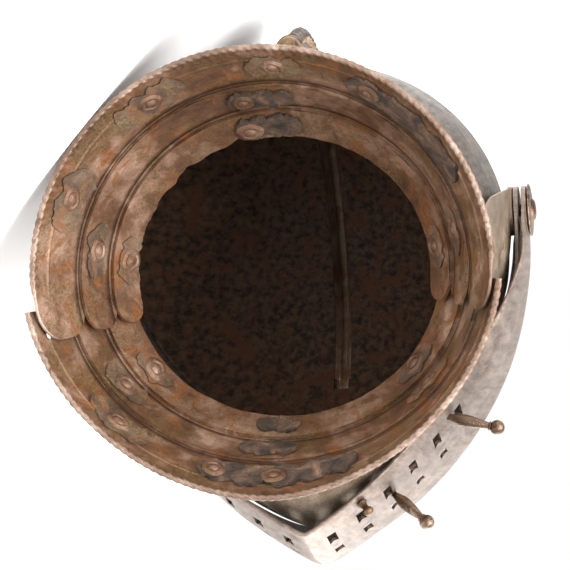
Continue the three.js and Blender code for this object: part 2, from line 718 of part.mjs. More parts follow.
// Face plate swung about the pivots, between two edges given as angles along its reach
function swungSurface(halfWidth, keel, lowEdge, highEdge, blunt) {
  const edge = (rows, share) => along(rows.map(([s, angle]) => ({ s, angle })), 's', 'angle', share) * deg;
  return (u, v) => {
    const share = reachShare(u, lowEdge[0][0]);
    const turn = lerp(edge(lowEdge, share), edge(highEdge, share), v);
    const reach = keelReach(keel, turn) * share;
    const x = Math.sign(u - 0.5) * halfWidth * planWidth(share, blunt(turn / deg));
    return vec(x, reach * Math.cos(turn) - pivotBack, reach * Math.sin(turn) + pivotHeight);
  };
}

const ventailKeel = [
  [ventailEdgeReach, ventailEdgeHeight], [lerp(ventailEdgeReach, prowReach, 0.94), lerp(ventailEdgeHeight, prowHeight, 0.9)],
  [prowReach, prowHeight + 3], [lerp(prowReach, ventailTopReach, 0.18), lerp(prowHeight, ventailTopHeight, 0.3)],
  [ventailTopReach, ventailTopHeight],
];
const ventailBlunt = (turn) => lerp(0.1, 0.6, THREE.MathUtils.smoothstep(turn, -14, 12));
const ventailSurface = swungSurface(ventailHalfWidth, ventailKeel, ventailLow, ventailHigh, ventailBlunt);

// Point of the ventail at a distance along its width from the keel and up from its lower edge,
// with the directions along, up and out of it
function onVentail(side, distance, lift) {
  const at = (u) => {
    const length = ventailSurface(u, 1).distanceTo(ventailSurface(u, 0));
    return ventailSurface(u, lift / length);
  };
  let u = 0.5;
  let run = 0;
  while (run < distance) {
    const before = at(u);
    u += side * 0.002;
    run += before.distanceTo(at(u));
  }
  const point = at(u);
  const across = at(u + 0.01).sub(at(u - 0.01)).normalize();
  const length = ventailSurface(u, 1).distanceTo(ventailSurface(u, 0));
  const rise = ventailSurface(u, lift / length + 0.02).sub(ventailSurface(u, lift / length - 0.02)).normalize();
  const out = rise.clone().cross(across).normalize();
  if (out.dot(vec(point.x, point.y, 0)) < 0) out.negate();
  return { point, across, rise, out };
}

// One breath: a tall slot
function breath(side, distance, lift, length) {
  const half = breathWidth / 2;
  const outline = new THREE.Shape([
    [-half, -length / 2], [half, -length / 2], [half, length / 2], [-half, length / 2],
  ].map(([x, y]) => new THREE.Vector2(x, y)));
  const depth = 12;
  const prism = new THREE.ExtrudeGeometry(outline, { depth, bevelEnabled: false });
  const { point, rise, out } = onVentail(side, distance, lift);
  const x = rise.clone().cross(out).normalize();
  const matrix = new THREE.Matrix4().makeBasis(x, rise, out).setPosition(point.addScaledVector(out, -depth / 2));
  return solidFrom(prism, matrix);
}

const breathRows = [
  { lift: 26, count: 6, length: breathLength },
  { lift: 49, count: 5, length: breathLength * 0.8 },
];

// Where the pegs and the catch stud stand: along the width from the keel and up from the lower edge
const pegPlaces = {
  lifting_peg_rear: [98, 14],
  lifting_peg_front: [52, 29],
  catch_stud: [34, 6],
};

function shankDrill([distance, lift]) {
  const { point, out } = onVentail(1, distance, lift);
  const hole = new THREE.CylinderGeometry(pegShank + shankPlay, pegShank + shankPlay, 16, 6);
  return solidFrom(hole, stand(point, out));
}

function ventail() {
  let solid = sheet(ventailSurface, 2 * faceSteps, 6, 1).add(bosses(ventailHalfWidth)).subtract(pivotDrill());
  for (const side of [-1, 1]) {
    for (const row of breathRows) {
      for (let i = 0; i < row.count; i += 1) {
        solid = solid.subtract(breath(side, breathStart + i * breathPitch, row.lift, row.length));
      }
    }
  }
  Object.values(pegPlaces).forEach((place) => {
    solid = solid.subtract(shankDrill(place));
  });
  return solid;
}
addPiece('ventail', ventail(), steel);

// Visor with a notch for the comb and two sights
const visorKeel = [
  [visorFootReach, visorFootHeight], [visorFootReach + 3, lerp(visorFootHeight, browEdgeHeight, 0.36)],
  [lerp(visorFootReach, browEdgeReach, 0.24), lerp(visorFootHeight, browEdgeHeight, 0.68)],
  [browEdgeReach, browEdgeHeight],
];
const visorBlunt = (turn) => lerp(0.28, 1, THREE.MathUtils.smoothstep(turn, 2, 30));

function sight(side) {
  const slot = new THREE.BoxGeometry(sightWidth, 140, sightHeight);
  const lean = 16.5 * deg;
  const turned = new THREE.Matrix4().makeRotationX(lean);
  const out = 140;
  turned.setPosition(
    side * (sightInset + sightWidth / 2),
    out * Math.cos(lean) - pivotBack,
    out * Math.sin(lean) + pivotHeight,
  );
  return solidFrom(slot, turned);
}

function visor() {
  const surface = swungSurface(visorHalfWidth, visorKeel, visorLow, visorHigh, visorBlunt);
  const notchDepth = 40;
  const notch = new THREE.BoxGeometry(2 * combNotch, 60, notchDepth);
  const lowest = pivotHeight + notchLift;
  const cut = solidFrom(notch, new THREE.Matrix4().makeTranslation(0, browEdgeReach + 22, lowest + notchDepth / 2));
  return sheet(surface, 2 * faceSteps, 6, 1)
    .add(bosses(visorHalfWidth))
    .subtract(pivotDrill())
    .subtract(cut)
    .subtract(sight(1))
    .subtract(sight(-1));
}
addPiece('visor', visor(), steel);

// Pivot: rosette head outside the ventail, shank through every plate, flat burr inside the skull
function pivotBolt(side) {
  const inside = skullSection(pivotHeight, plate).halfWidth - 1.9;
  const outside = ventailHalfWidth + seatGap;
  const profile = [
    [0, inside - 2], [pivotShank * 2, inside - 2], [pivotShank * 2, inside], [pivotShank, inside],
    [pivotShank, outside], [rosetteRadius, outside], [rosetteRadius, outside + 1], [rosetteRadius * 0.5, outside + 2.4],
    [rosetteRadius * 0.35, outside + rosetteRise], [0, outside + rosetteRise],
  ].map(([x, y]) => new THREE.Vector2(x, y));
  return solidFrom(new THREE.LatheGeometry(profile, 12), atPivot(side, 0));
}
addPiece('pivot_right', pivotBolt(1), steel);
addPiece('pivot_left', pivotBolt(-1), steel);

// Lifting pegs on the wearer's right
function peg([distance, lift]) {
  const { point, out } = onVentail(1, distance, lift);
  const profile = [
    [0, -plate - 1.2], [pegShank, -plate - 1.2], [pegShank, pegSeat], [pegRadius * 1.5, pegSeat],
    [pegRadius * 1.3, pegLength * 0.22],
    [pegRadius * 0.62, pegLength - pegBall * 1.9],
  ];
  for (const turn of [-50, 0, 50]) {
    profile.push([pegBall * Math.cos(turn * deg), pegLength - pegBall + pegBall * Math.sin(turn * deg)]);
  }
  profile.push([0, pegLength]);
  const shape = new THREE.LatheGeometry(profile.map(([x, y]) => new THREE.Vector2(x, y)), 8);
  return solidFrom(shape, stand(point, out));
}
addPiece('lifting_peg_rear', peg(pegPlaces.lifting_peg_rear), steel);
addPiece('lifting_peg_front', peg(pegPlaces.lifting_peg_front), steel);

// Catch stud of the bevor, at the ventail's lower edge
function catchStud() {
  const [distance, lift] = pegPlaces.catch_stud;
  const { point, out } = onVentail(1, distance, lift);
  const profile = [
    [0, -plate - 1], [pegShank, -plate - 1], [pegShank, pegSeat], [studRadius, pegSeat],
    [studRadius * 0.6, studLength * 0.5], [studRadius, studLength * 0.75], [0, studLength],
  ].map(([x, y]) => new THREE.Vector2(x, y));
  return solidFrom(new THREE.LatheGeometry(profile, 8), stand(point, out));
}
addPiece('catch_stud', catchStud(), brass);

// At rest it lies on the back of its left side, on the left pivot, the skull and the gorget's rim, with the
// neck opening towards -Y
upright.rotation.set(lieTip * deg, 0, lieTurn * deg);
const helmet = new THREE.Group();
helmet.add(upright);
const room = new THREE.Box3().setFromObject(helmet, true);
const middle = room.getCenter(vec(0, 0, 0));
upright.position.set(-middle.x, -middle.y, -room.min.z);

export default helmet;
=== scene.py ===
import json
import math
import bpy
import numpy as np
from mathutils import Matrix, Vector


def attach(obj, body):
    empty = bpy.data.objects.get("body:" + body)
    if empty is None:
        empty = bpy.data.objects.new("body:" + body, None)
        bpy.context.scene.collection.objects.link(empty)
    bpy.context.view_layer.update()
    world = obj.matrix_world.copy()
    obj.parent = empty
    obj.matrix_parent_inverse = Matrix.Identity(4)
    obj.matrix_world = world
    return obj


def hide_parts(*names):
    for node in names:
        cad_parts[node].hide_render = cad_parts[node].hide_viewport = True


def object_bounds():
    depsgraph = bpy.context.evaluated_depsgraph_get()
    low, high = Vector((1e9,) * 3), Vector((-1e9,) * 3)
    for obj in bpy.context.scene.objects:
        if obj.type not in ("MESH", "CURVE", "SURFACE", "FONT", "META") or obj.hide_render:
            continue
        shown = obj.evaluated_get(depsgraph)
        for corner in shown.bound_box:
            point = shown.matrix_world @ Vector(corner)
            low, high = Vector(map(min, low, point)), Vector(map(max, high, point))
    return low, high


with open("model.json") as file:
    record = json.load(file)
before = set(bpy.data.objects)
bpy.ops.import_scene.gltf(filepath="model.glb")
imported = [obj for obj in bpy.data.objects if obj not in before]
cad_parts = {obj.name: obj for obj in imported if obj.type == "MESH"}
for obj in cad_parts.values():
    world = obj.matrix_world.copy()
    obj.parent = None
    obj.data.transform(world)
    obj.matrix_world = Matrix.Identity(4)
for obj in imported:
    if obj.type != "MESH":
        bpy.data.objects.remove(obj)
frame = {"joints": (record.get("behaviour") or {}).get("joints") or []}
cad_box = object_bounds()

# Sizes of the frame, in millimetres: +Y the wearer's front, +X the wearer's right, +Z up
PLATE = 1.6
PLAY = 0.5
PIVOT_BACK = 25
PIVOT_HEIGHT = 160
PIVOT_HOLE = 3.7
PIVOT_BOSS = 13
ROSETTE = 14
SKULL_WIDE = 105
SKULL_REAR = 100
SKULL_BROW = 108
CENTRE_HEIGHT = 178
CENTRE_BACK = 13
CROWN = 108
COLLAR_HEIGHT = 51.6
COLLAR_TOP = 60
FULLNESS = 2.1
FACE_EDGE = 4
BROW_HEIGHT = 214
COMB_RISE = 21
COMB_BASE = 6.2
COMB_TAIL = 9
COMB_EDGE = 4.6
COMB_START = 40
COMB_END = 196
HOLDER_WIDE = 9
HOLDER_REACH = 14
HOLDER_LENGTH = 12
GORGET = 62
RIM_WIDE = 110.9
RIM_BACK = 107.5
RIM_FRONT = 107.5
FRONT_WIDE = 115
REAR_SHIFT = -3
FRONT_SHIFT = -3.5
OVERLAP = 3
BORDER = 1.5
BEVOR_WIDE = 110
CHIN = 131
BEVOR_TOP = 128
VENTAIL_WIDE = 117.5
VISOR_WIDE = 113.4
SEAT = 0.5
VISOR_CLEAR = 3.2
SWING_CLEAR = 3.3
SWING_DEGREES = 105
VISOR_FOOT_OUT = 3.5
VISOR_DRAWN_MOST = 14
LEATHER = 1.4
WASHER = 5.2
RIVET_HOLE = 1.9
PEG_HOLE = 1.8
PEG_BALL, PEG_LENGTH = 3.8, 25.1
LINE_RISE, LINE_HEIGHT, LINE_WIDTH = 0.45, 8.2, 0.55
ROPE_PITCH, CREST_PITCH = 4.2, 9.0
RIM_HOLE, RIM_HOLE_HEIGHT, RIM_HOLE_TURN = 2.3, 9.0, math.radians(258)
BREATH_HALF, BREATH_NOTCH = 2.6, 2.2
BREATH_FIRST, BREATH_STEP = 13, 18.3
BREATH_ROWS = ((21, 6, 13.0), (45.5, 5, 10.5))  # height over the lower edge, count, length
BROW_REACH = 92.5
NOTCH_HALF, NOTCH_LIFT = 12.5, 44
SIGHT_SIDE, SIGHT_HALF, SIGHT_ROUND, SIGHT_LEAN = 46, 27.5, 3.5, math.radians(16.5)

EDGE_H = np.array([1.0, 0.742, 0.435, 0.0])
EDGES = {
    "rear": np.array([0.663, 0.762, 0.861, 1.0]),
    "back": np.array([0.637, 0.749, 0.851, 1.0]),
    "wide": np.array([0.682, 0.793, 0.886, 1.0]),
    "front": np.array([0.67, 0.761, 0.85, 1.0]),
    "full": np.array([2, 2, 2, 1.85]),
}
FULL = {"rear": RIM_WIDE, "back": RIM_BACK, "wide": FRONT_WIDE, "front": RIM_FRONT}
# Skull under its widest part: shares of the rise, the half width, the depth behind, the centre's shift
NECK = np.array([
    [0, 0.757, 0.747, 0], [0.09, 0.802, 0.775, 0.15], [0.21, 0.872, 0.848, 0.55],
    [0.43, 0.94, 0.925, 1], [0.68, 0.986, 0.98, 1], [1, 1, 1, 1],
])
# Bevor: shares of the rise, the half width, the reach, the centre's shift, and how blunt it is
BEVOR = np.array([
    [0, 0.774, 0.59, 0, 1], [0.05, 0.785, 0.72, 0.06, 0.8], [0.16, 0.862, 0.93, 0.4, 0.35],
    [0.34, 0.911, 1, 0.8, 0.1], [0.5, 0.946, 0.99, 1, 0.1], [0.74, 0.984, 0.93, 1, 0.2], [1, 1, 0.86, 1, 0.3],
])
# Keel seen from above: share of the reach, share of the half width
KEEL = np.array([
    [0, 1], [0.18, 0.983], [0.28, 0.945], [0.47, 0.825], [0.675, 0.6], [0.848, 0.33], [0.94, 0.14], [1, 0],
])
# Edges of ventail and visor: share of the reach, degrees about the pivots. Keels: reach ahead, height
VENTAIL_LOW = np.array([
    [0.07, -105], [0.12, -62], [0.2, -46.5], [0.5, -43.5], [0.71, -37.6], [0.86, -34], [1, -31],
])
VENTAIL_HIGH = np.array([[0.07, 75], [0.12, 45], [0.2, 30], [0.4, 17], [0.7, 10], [1, 9.6]])
VISOR_LOW = np.array([[0.07, -105], [0.13, -45], [0.25, -22], [0.6, -8], [1, -3.6]])
VISOR_HIGH = np.array([[0.07, 75], [0.13, 70], [0.3, 55], [0.6, 40], [0.85, 33], [1, 30.1]])
VENTAIL_KEEL = np.array([[133, 65], [152.27, 124.4], [153.5, 134], [151.07, 148.1], [140, 188]])
VISOR_KEEL = np.array([[133, 150], [136, 178.08], [123.28, 203.04], [92.5, 228]])
REAR_END = math.radians(104)
FRONT_END = math.radians(95.5)
END_ROUND = math.radians(9)

# How the helmet lies: from its own frame to the row frame
LIE_TURN, LIE_TIP = math.radians(-133.503), math.radians(-90.445)
TURN = np.array(Matrix.Rotation(LIE_TIP, 3, "X") @ Matrix.Rotation(LIE_TURN, 3, "Z"))
SHIFT = np.array(frame["joints"][0]["pos_m"]) * 1000 - TURN @ np.array([0, -PIVOT_BACK, PIVOT_HEIGHT])


def to_row(points):
    return (np.asarray(points, float) @ TURN.T + SHIFT) / 1000


def to_helmet(points):
    return (np.asarray(points, float) * 1000 - SHIFT) @ TURN


def vec(x, y, z):
    x, y, z = np.broadcast_arrays(x, y, z)
    return np.stack([x, y, z], -1).astype(float)


def smooth(x, low, high):
    t = np.clip((x - low) / (high - low), 0, 1)
    return t * t * (3 - 2 * t)


def mix(a, b, t):
    return a + (b - a) * t


def unit(a):
    return a / np.maximum(np.linalg.norm(a, axis=-1, keepdims=True), 1e-12)


def curve(xs, ys, t):
    """Smooth curve through the rows of a table, held at its ends."""
    xs, ys = np.asarray(xs, float), np.asarray(ys, float)
    if xs[0] > xs[-1]:
        xs, ys = xs[::-1], ys[::-1]
    t = np.clip(t, xs[0], xs[-1])
    slope = np.diff(ys) / np.diff(xs)
    after, before = slope[1:], slope[:-1]
    inner = np.where(after * before > 0, 2 * after * before / (after + before + 1e-12), 0)
    ends = np.concatenate([slope[:1], inner, slope[-1:]])
    i = np.clip(np.searchsorted(xs, t, side="right") - 1, 0, len(xs) - 2)
    h = xs[i + 1] - xs[i]
    s = (t - xs[i]) / h
    a, b = ys[i], ys[i + 1]
    p, q = ends[i] * h, ends[i + 1] * h
    start = a * (1 + 2 * s) * (1 - s) ** 2 + p * s * (1 - s) ** 2
    return start + b * s * s * (3 - 2 * s) + q * s * s * (s - 1)


def wobble(x, seed, octaves=4, scale=1.0):
    """Smooth seeded ripple between about -1 and 1."""
    rng = np.random.default_rng(seed)
    out, size = 0, 0
    for k in range(octaves):
        phase, rate = rng.uniform(0, 2 * math.pi, 2), rng.uniform(0.8, 1.25, 2)
        turn = x * scale * 2**k
        part = np.sin(turn * rate[0] + phase[0]) + np.sin(turn * 1.37 * rate[1] + phase[1])
        out, size = out + part / 2**k, size + 1.4 / 2**k
    return out / size


def ripples(amount, first, second):
    """Dents of two crossed ripples: the rate of each along X, Y and Z, its seed and its octaves."""
    def dent(p):
        return amount * wobble(p @ first[0], *first[1:]) * wobble(p @ second[0], *second[1:])
    return dent


def super_radius(dx, dy, a, b, power):
    return (np.abs(dx / a) ** power + np.abs(dy / b) ** power) ** (-1 / power)


def flare(k, height, key):
    edges, full = EDGES[key], FULL[key]
    low_at, high_at = EDGE_H[k + 1] * GORGET, EDGE_H[k] * GORGET
    slant = math.hypot(1, full * (edges[k + 1] - edges[k]) / (high_at - low_at))
    step = 0 if k == 0 else (PLATE + PLAY) * slant
    here = mix(full * edges[k + 1], full * edges[k] + step, (height - low_at) / (high_at - low_at))
    if k == 0:
        return here
    return np.where(height > high_at, flare(k - 1, height, key) + step, here)


def collar(height, key):
    drop = flare(0, 0.0, key) - flare(0, 1.0, key)
    return flare(0, height, key) + (2 * PLATE + PLAY) * math.hypot(1, drop)


def skull_section(height, wall):
    height = np.asarray(height, float)
    low = height < COLLAR_TOP
    rise = (height - COLLAR_TOP) / (CENTRE_HEIGHT - COLLAR_TOP)
    wide, rear, back = (curve(NECK[:, 0], NECK[:, c], rise) for c in (1, 2, 3))
    crown = np.maximum(0, (height - CENTRE_HEIGHT) / (CROWN - wall))
    narrow = np.sqrt(np.maximum(0, 1 - crown**2))
    return (
        np.where(low, collar(height, "rear") - wall * 1.2, (SKULL_WIDE * wide - wall) * narrow),
        np.where(low, collar(height, "back") - wall * 1.2, (SKULL_REAR * rear - wall) * narrow),
        np.where(low, collar(height, "front") - wall * 1.2, (SKULL_BROW * rear - wall) * narrow),
        np.where(low, 0, -CENTRE_BACK * back),
    )


def skull_radius(section, dx, dy):
    wide, rear, brow = section[:3]
    return super_radius(dx, dy, wide, np.where(dy < 0, rear, brow), FULLNESS)


def lame_ends(front):
    return (FRONT_END, 2 * math.pi - FRONT_END) if front else (-REAR_END, REAR_END)


def lame_point(front, k, height, turn):
    dx, dy = np.sin(turn), -np.cos(turn)
    wide = flare(k, height, "wide" if front else "rear")
    reach = np.where(dy < 0, flare(k, height, "back"), flare(k, height, "front"))
    power = np.interp(height / GORGET, EDGE_H[::-1], EDGES["full"][::-1]) if front else 2.0
    size = super_radius(dx, dy, wide, reach, power)
    shift = (FRONT_SHIFT if front else REAR_SHIFT) * np.maximum(0, 1 - height / (EDGE_H[1] * GORGET))
    return vec(dx * size + shift, dy * size, height)


def lame_out(front, k, height, turn):
    across = lame_point(front, k, height, turn + 0.01) - lame_point(front, k, height, turn - 0.01)
    up = lame_point(front, k, height + 0.5, turn) - lame_point(front, k, height - 0.5, turn)
    return unit(np.cross(across, up))


def lame_span(front, k, turn):
    low, high = EDGE_H[k + 1] * GORGET, EDGE_H[k] * GORGET + (OVERLAP if k > 0 else 0)
    turn = np.asarray(turn, float)
    if front:
        return low + 0 * turn, high + 0 * turn
    t = np.maximum(0, (np.abs(turn) - (REAR_END - END_ROUND)) / END_ROUND)
    away = 0.42 * (high - low) * (1 - np.sqrt(np.maximum(0, 1 - t * t)))
    return low + away, high - away


def band_height(k, share):
    return mix(EDGE_H[k + 1], EDGE_H[k], share) * GORGET


def plan_width(share, blunt, power=2.3):
    keeled = curve(KEEL[:, 0], KEEL[:, 1], share)
    return mix(keeled, np.maximum(0, 1 - share**power) ** (1 / power), blunt)


def bevor_surface(u, v):
    side, across = np.sign(u - 0.5), np.abs(u - 0.5) * 2
    top = mix(BEVOR_TOP, PIVOT_HEIGHT + PIVOT_BOSS * 0.8, across**6)
    below, above = mix(COLLAR_HEIGHT, COLLAR_TOP, v * 7), mix(COLLAR_TOP, top, (v * 7 - 1) / 6)
    height = np.where(v < 1 / 7, below, above)
    rise = np.maximum(0, (height - COLLAR_TOP) / (PIVOT_HEIGHT - COLLAR_TOP))
    wide, reach, back, blunt = (curve(BEVOR[:, 0], BEVOR[:, c], rise) for c in (1, 2, 3, 4))
    low = height < COLLAR_TOP
    wide = np.where(low, collar(height, "wide"), BEVOR_WIDE * wide)
    reach = np.where(low, collar(height, "front"), CHIN * reach)
    centre = -PIVOT_BACK * back
    share = np.cos(across * math.pi / 2)
    y = centre + (reach - centre) * share - mix(2, 12, smooth(rise, 0, 1)) * across**6
    return vec(side * wide * plan_width(share, blunt, mix(2, 2.3, smooth(rise, 0, 0.3))), y, height)


def keel_reach(points, turn):
    rel = points - np.array([-PIVOT_BACK, PIVOT_HEIGHT])
    angles = np.arctan2(rel[:, 1], rel[:, 0])
    return curve(angles, np.hypot(rel[:, 0], rel[:, 1]), turn)


def swung(half_width, keel, low_edge, high_edge, blunt):
    def surface(u, v):
        share = mix(low_edge[0, 0], 1, np.cos((u - 0.5) * math.pi))
        low = curve(low_edge[:, 0], low_edge[:, 1], share)
        high = curve(high_edge[:, 0], high_edge[:, 1], share)
        turn = np.radians(mix(low, high, v))
        reach = keel_reach(keel, turn) * share
        x = np.sign(u - 0.5) * half_width * plan_width(share, blunt(np.degrees(turn)))
        return vec(x, reach * np.cos(turn) - PIVOT_BACK, reach * np.sin(turn) + PIVOT_HEIGHT)
    return surface


ventail_surface = swung(
    VENTAIL_WIDE, VENTAIL_KEEL, VENTAIL_LOW, VENTAIL_HIGH, lambda a: mix(0.1, 0.6, smooth(a, -14, 12))
)
visor_surface = swung(VISOR_WIDE, VISOR_KEEL, VISOR_LOW, VISOR_HIGH, lambda a: mix(0.28, 1, smooth(a, 2, 30)))


# Materials
def nodes_of(name):
    material = bpy.data.materials.new(name)
    material.use_nodes = True
    tree = material.node_tree
    shader = tree.nodes["Principled BSDF"]
    coords = tree.nodes.new("ShaderNodeTexCoord")
    place = tree.nodes.new("ShaderNodeMapping")
    place.inputs["Scale"].default_value = (1000, 1000, 1000)
    back = Matrix(TURN.T.tolist())
    place.inputs["Rotation"].default_value = back.to_euler()
    place.inputs["Location"].default_value = tuple(-(TURN.T @ SHIFT))
    tree.links.new(coords.outputs["Object"], place.inputs["Vector"])
    return material, tree, shader, place.outputs["Vector"]


def noise(tree, vector, scale, detail, rough, stretch=None, warp=0.0):
    if stretch:
        squeeze = tree.nodes.new("ShaderNodeMapping")
        squeeze.inputs["Scale"].default_value = stretch
        tree.links.new(vector, squeeze.inputs["Vector"])
        vector = squeeze.outputs["Vector"]
    node = tree.nodes.new("ShaderNodeTexNoise")
    for key, value in (("Scale", scale), ("Detail", detail), ("Roughness", rough), ("Distortion", warp)):
        node.inputs[key].default_value = value
    tree.links.new(vector, node.inputs["Vector"])
    return node.outputs["Fac"]


def ramp(tree, value, stops):
    node = tree.nodes.new("ShaderNodeValToRGB")
    elements = node.color_ramp.elements
    while len(elements) < len(stops):
        elements.new(0.5)
    for element, (place, colour) in zip(elements, stops):
        element.position = place
        element.color = (*colour, 1)
    tree.links.new(value, node.inputs["Fac"])
    return node.outputs["Color"]


def grey(low, high, a=0.0, b=1.0):
    return [(low, (a, a, a)), (high, (b, b, b))]


def blend(tree, factor, first, second, mode="MIX"):
    node = tree.nodes.new("ShaderNodeMix")
    node.data_type = "RGBA"
    node.blend_type = mode
    if isinstance(factor, (int, float)):
        node.inputs["Factor"].default_value = factor
    else:
        tree.links.new(factor, node.inputs["Factor"])
    for socket, value in ((node.inputs[6], first), (node.inputs[7], second)):
        if isinstance(value, tuple):
            socket.default_value = (*value, 1)
        else:
            tree.links.new(value, socket)
    return node.outputs[2]


def bump(tree, shader, height, distance, strength, before=None):
    node = tree.nodes.new("ShaderNodeBump")
    node.inputs["Distance"].default_value = distance
    node.inputs["Strength"].default_value = strength
    tree.links.new(height, node.inputs["Height"])
    if before:
        tree.links.new(before, node.inputs["Normal"])
    tree.links.new(node.outputs["Normal"], shader.inputs["Normal"])
    return node.outputs["Normal"]


def add(tree, a, b, share):
    node = tree.nodes.new("ShaderNodeMath")
    node.operation = "MULTIPLY_ADD"
    tree.links.new(b, node.inputs[0])
    node.inputs[1].default_value = share
    tree.links.new(a, node.inputs[2])
    return node.outputs[0]


def srgb(r, g, b):
    return tuple(((c / 255 + 0.055) / 1.055) ** 2.4 if c > 10 else c / 255 / 12.92 for c in (r, g, b))


def iron(
    name, dark, mid, light, rust, metallic, rough,
    streak=0.0, rust_from=0.56, pits=1.0, olive=0.0, painted_joint_shadows=False,
):
    """Old iron: mottled colour, patches of rust, faint streaks down the piece, pits and dents, and painted
    shadow strips at the lame joints when asked.
    """
    dark, mid, light, rust = (srgb(*colour) for colour in (dark, mid, light, rust))
    material, tree, shader, at = nodes_of(name)
    broad = noise(tree, at, 0.022, 8, 0.62, warp=0.6)
    spots = noise(tree, at, 0.11, 8, 0.68, warp=0.4)
    grain = noise(tree, at, 0.9, 6, 0.7)
    fine = noise(tree, at, 3.2, 3, 0.6)
    mottled = add(tree, broad, spots, 0.55)
    base = ramp(tree, mottled, [(0.48, dark), (0.76, mid), (1.0, light)])
    if streak:
        down = noise(tree, at, 0.5, 5, 0.6, stretch=(0.55, 0.55, 0.05))
        base = blend(tree, streak, base, ramp(tree, down, [(0.35, dark), (0.62, light)]))
    patches = add(tree, noise(tree, at, 0.045, 9, 0.72, warp=1.2), grain, 0.12)
    where = ramp(tree, patches, grey(rust_from, rust_from + 0.1))
    base = blend(tree, where, base, rust)
    if olive:
        moss = add(tree, noise(tree, at, 0.035, 8, 0.7, warp=0.9), noise(tree, at, 1.3, 5, 0.75), 0.35)
        shown = ramp(tree, moss, [(0.66, (0, 0, 0)), (0.76, (olive, olive, olive))])
        green = ramp(tree, grain, [(0.4, srgb(74, 58, 34)), (0.6, srgb(136, 112, 72))])
        base = blend(tree, shown, base, green)
    # painted shadow: multiplies the colour by a dark strip just below the heights EDGE_H[1] and EDGE_H[2],
    # where one lame's edge overlaps the next and would cast its shadow
    if painted_joint_shadows:
        split = tree.nodes.new("ShaderNodeSeparateXYZ")
        tree.links.new(at, split.inputs[0])
        share = tree.nodes.new("ShaderNodeMath")
        share.operation = "DIVIDE"
        tree.links.new(split.outputs["Z"], share.inputs[0])
        share.inputs[1].default_value = GORGET
        stops = []
        for edge in (EDGE_H[2], EDGE_H[1]):
            stops += [
                (edge - 0.05, (1, 1, 1)), (edge - 0.02, (0.4, 0.36, 0.33)),
                (edge - 0.004, (0.08, 0.07, 0.06)), (edge + 0.003, (1, 1, 1)),
            ]
        base = blend(tree, 1.0, base, ramp(tree, share.outputs[0], stops), "MULTIPLY")
    speckle = ramp(tree, grain, [(0.36, (0.55, 0.5, 0.48)), (0.55, (1, 1, 1))])
    base = blend(tree, 0.55, base, speckle, "MULTIPLY")
    tree.links.new(base, shader.inputs["Base Color"])
    shader.inputs["Metallic"].default_value = metallic
    worn = add(tree, spots, grain, 0.4)
    tree.links.new(ramp(tree, worn, grey(0.45, 0.95, rough - 0.12, rough + 0.2)), shader.inputs["Roughness"])
    low = bump(tree, shader, spots, 0.0011, 0.5)
    small = bump(tree, shader, grain, 0.00028 * pits, 0.7, low)
    bump(tree, shader, fine, 0.00008 * pits, 0.7, small)
    return material


# the lame iron carries the painted shadow strips at the lame joints
LAME = iron(
    "brown_iron", (58, 39, 25), (113, 80, 57), (178, 146, 124), (136, 88, 50),
    0.42, 0.42, rust_from=0.58, pits=1.6, olive=0.5, painted_joint_shadows=True,
)
LAME_OUT = iron("lame_outside", (70, 54, 44), (110, 89, 75), (150, 129, 113), (104, 70, 48), 0.6, 0.42)
SKULL_IRON = iron(
    "skull_iron", (50, 43, 37), (86, 75, 66), (124, 110, 98), (92, 72, 56),
    0.75, 0.4, streak=0.6, rust_from=0.66,
)
STEEL = iron(
    "grey_iron", (80, 69, 62), (126, 110, 99), (168, 151, 139), (108, 84, 68),
    0.7, 0.38, streak=0.4, rust_from=0.64,
)
INSIDE = iron(
    "dark_inside", (30, 21, 14), (62, 45, 32), (112, 84, 62), (104, 66, 42),
    0.0, 0.7, streak=0.8, rust_from=0.58,
)
# painted light: the inner faces of the comb's hollow channel get a pale colour that stands in for light
# reaching into this recess
CHANNEL_PAINTED_LIGHT = iron("comb_channel_painted_light", (116, 94, 76), (160, 134, 110), (200, 174, 148), (140, 100, 70), 0.0, 0.7)
BEVOR_IRON = iron(
    "bevor_iron", (92, 79, 66), (140, 124, 106), (182, 165, 145), (124, 98, 76),
    0.6, 0.4, rust_from=0.6,
)
# painted highlight: a lighter iron for the roped border of the lowest lames and the ventail's lower bead,
# standing in for the light these rounded edges catch; its rust patches are the iron's own
PAINTED_EDGE_HIGHLIGHT = iron(
    "painted_edge_highlight", (76, 58, 46), (132, 108, 92), (194, 172, 156), (104, 72, 50),
    0.5, 0.42, rust_from=0.6,
)
BRONZE = iron("bronze", (74, 60, 48), (122, 101, 84), (176, 154, 134), (80, 58, 44), 0.9, 0.28)
BRASS = iron("dull_brass", (84, 64, 44), (128, 102, 74), (172, 146, 114), (84, 60, 42), 0.8, 0.38)
RIVET = iron(
    "rivet_iron", (64, 45, 33), (118, 88, 68), (178, 148, 128), (116, 80, 54),
    0.5, 0.4, rust_from=0.62, pits=1.6, olive=0.3,
)
CRUST = iron(
    "rust_crust", (40, 30, 22), (86, 66, 50), (144, 120, 98), (124, 82, 50),
    0.1, 0.6, rust_from=0.56, pits=2.4, olive=0.6,
)


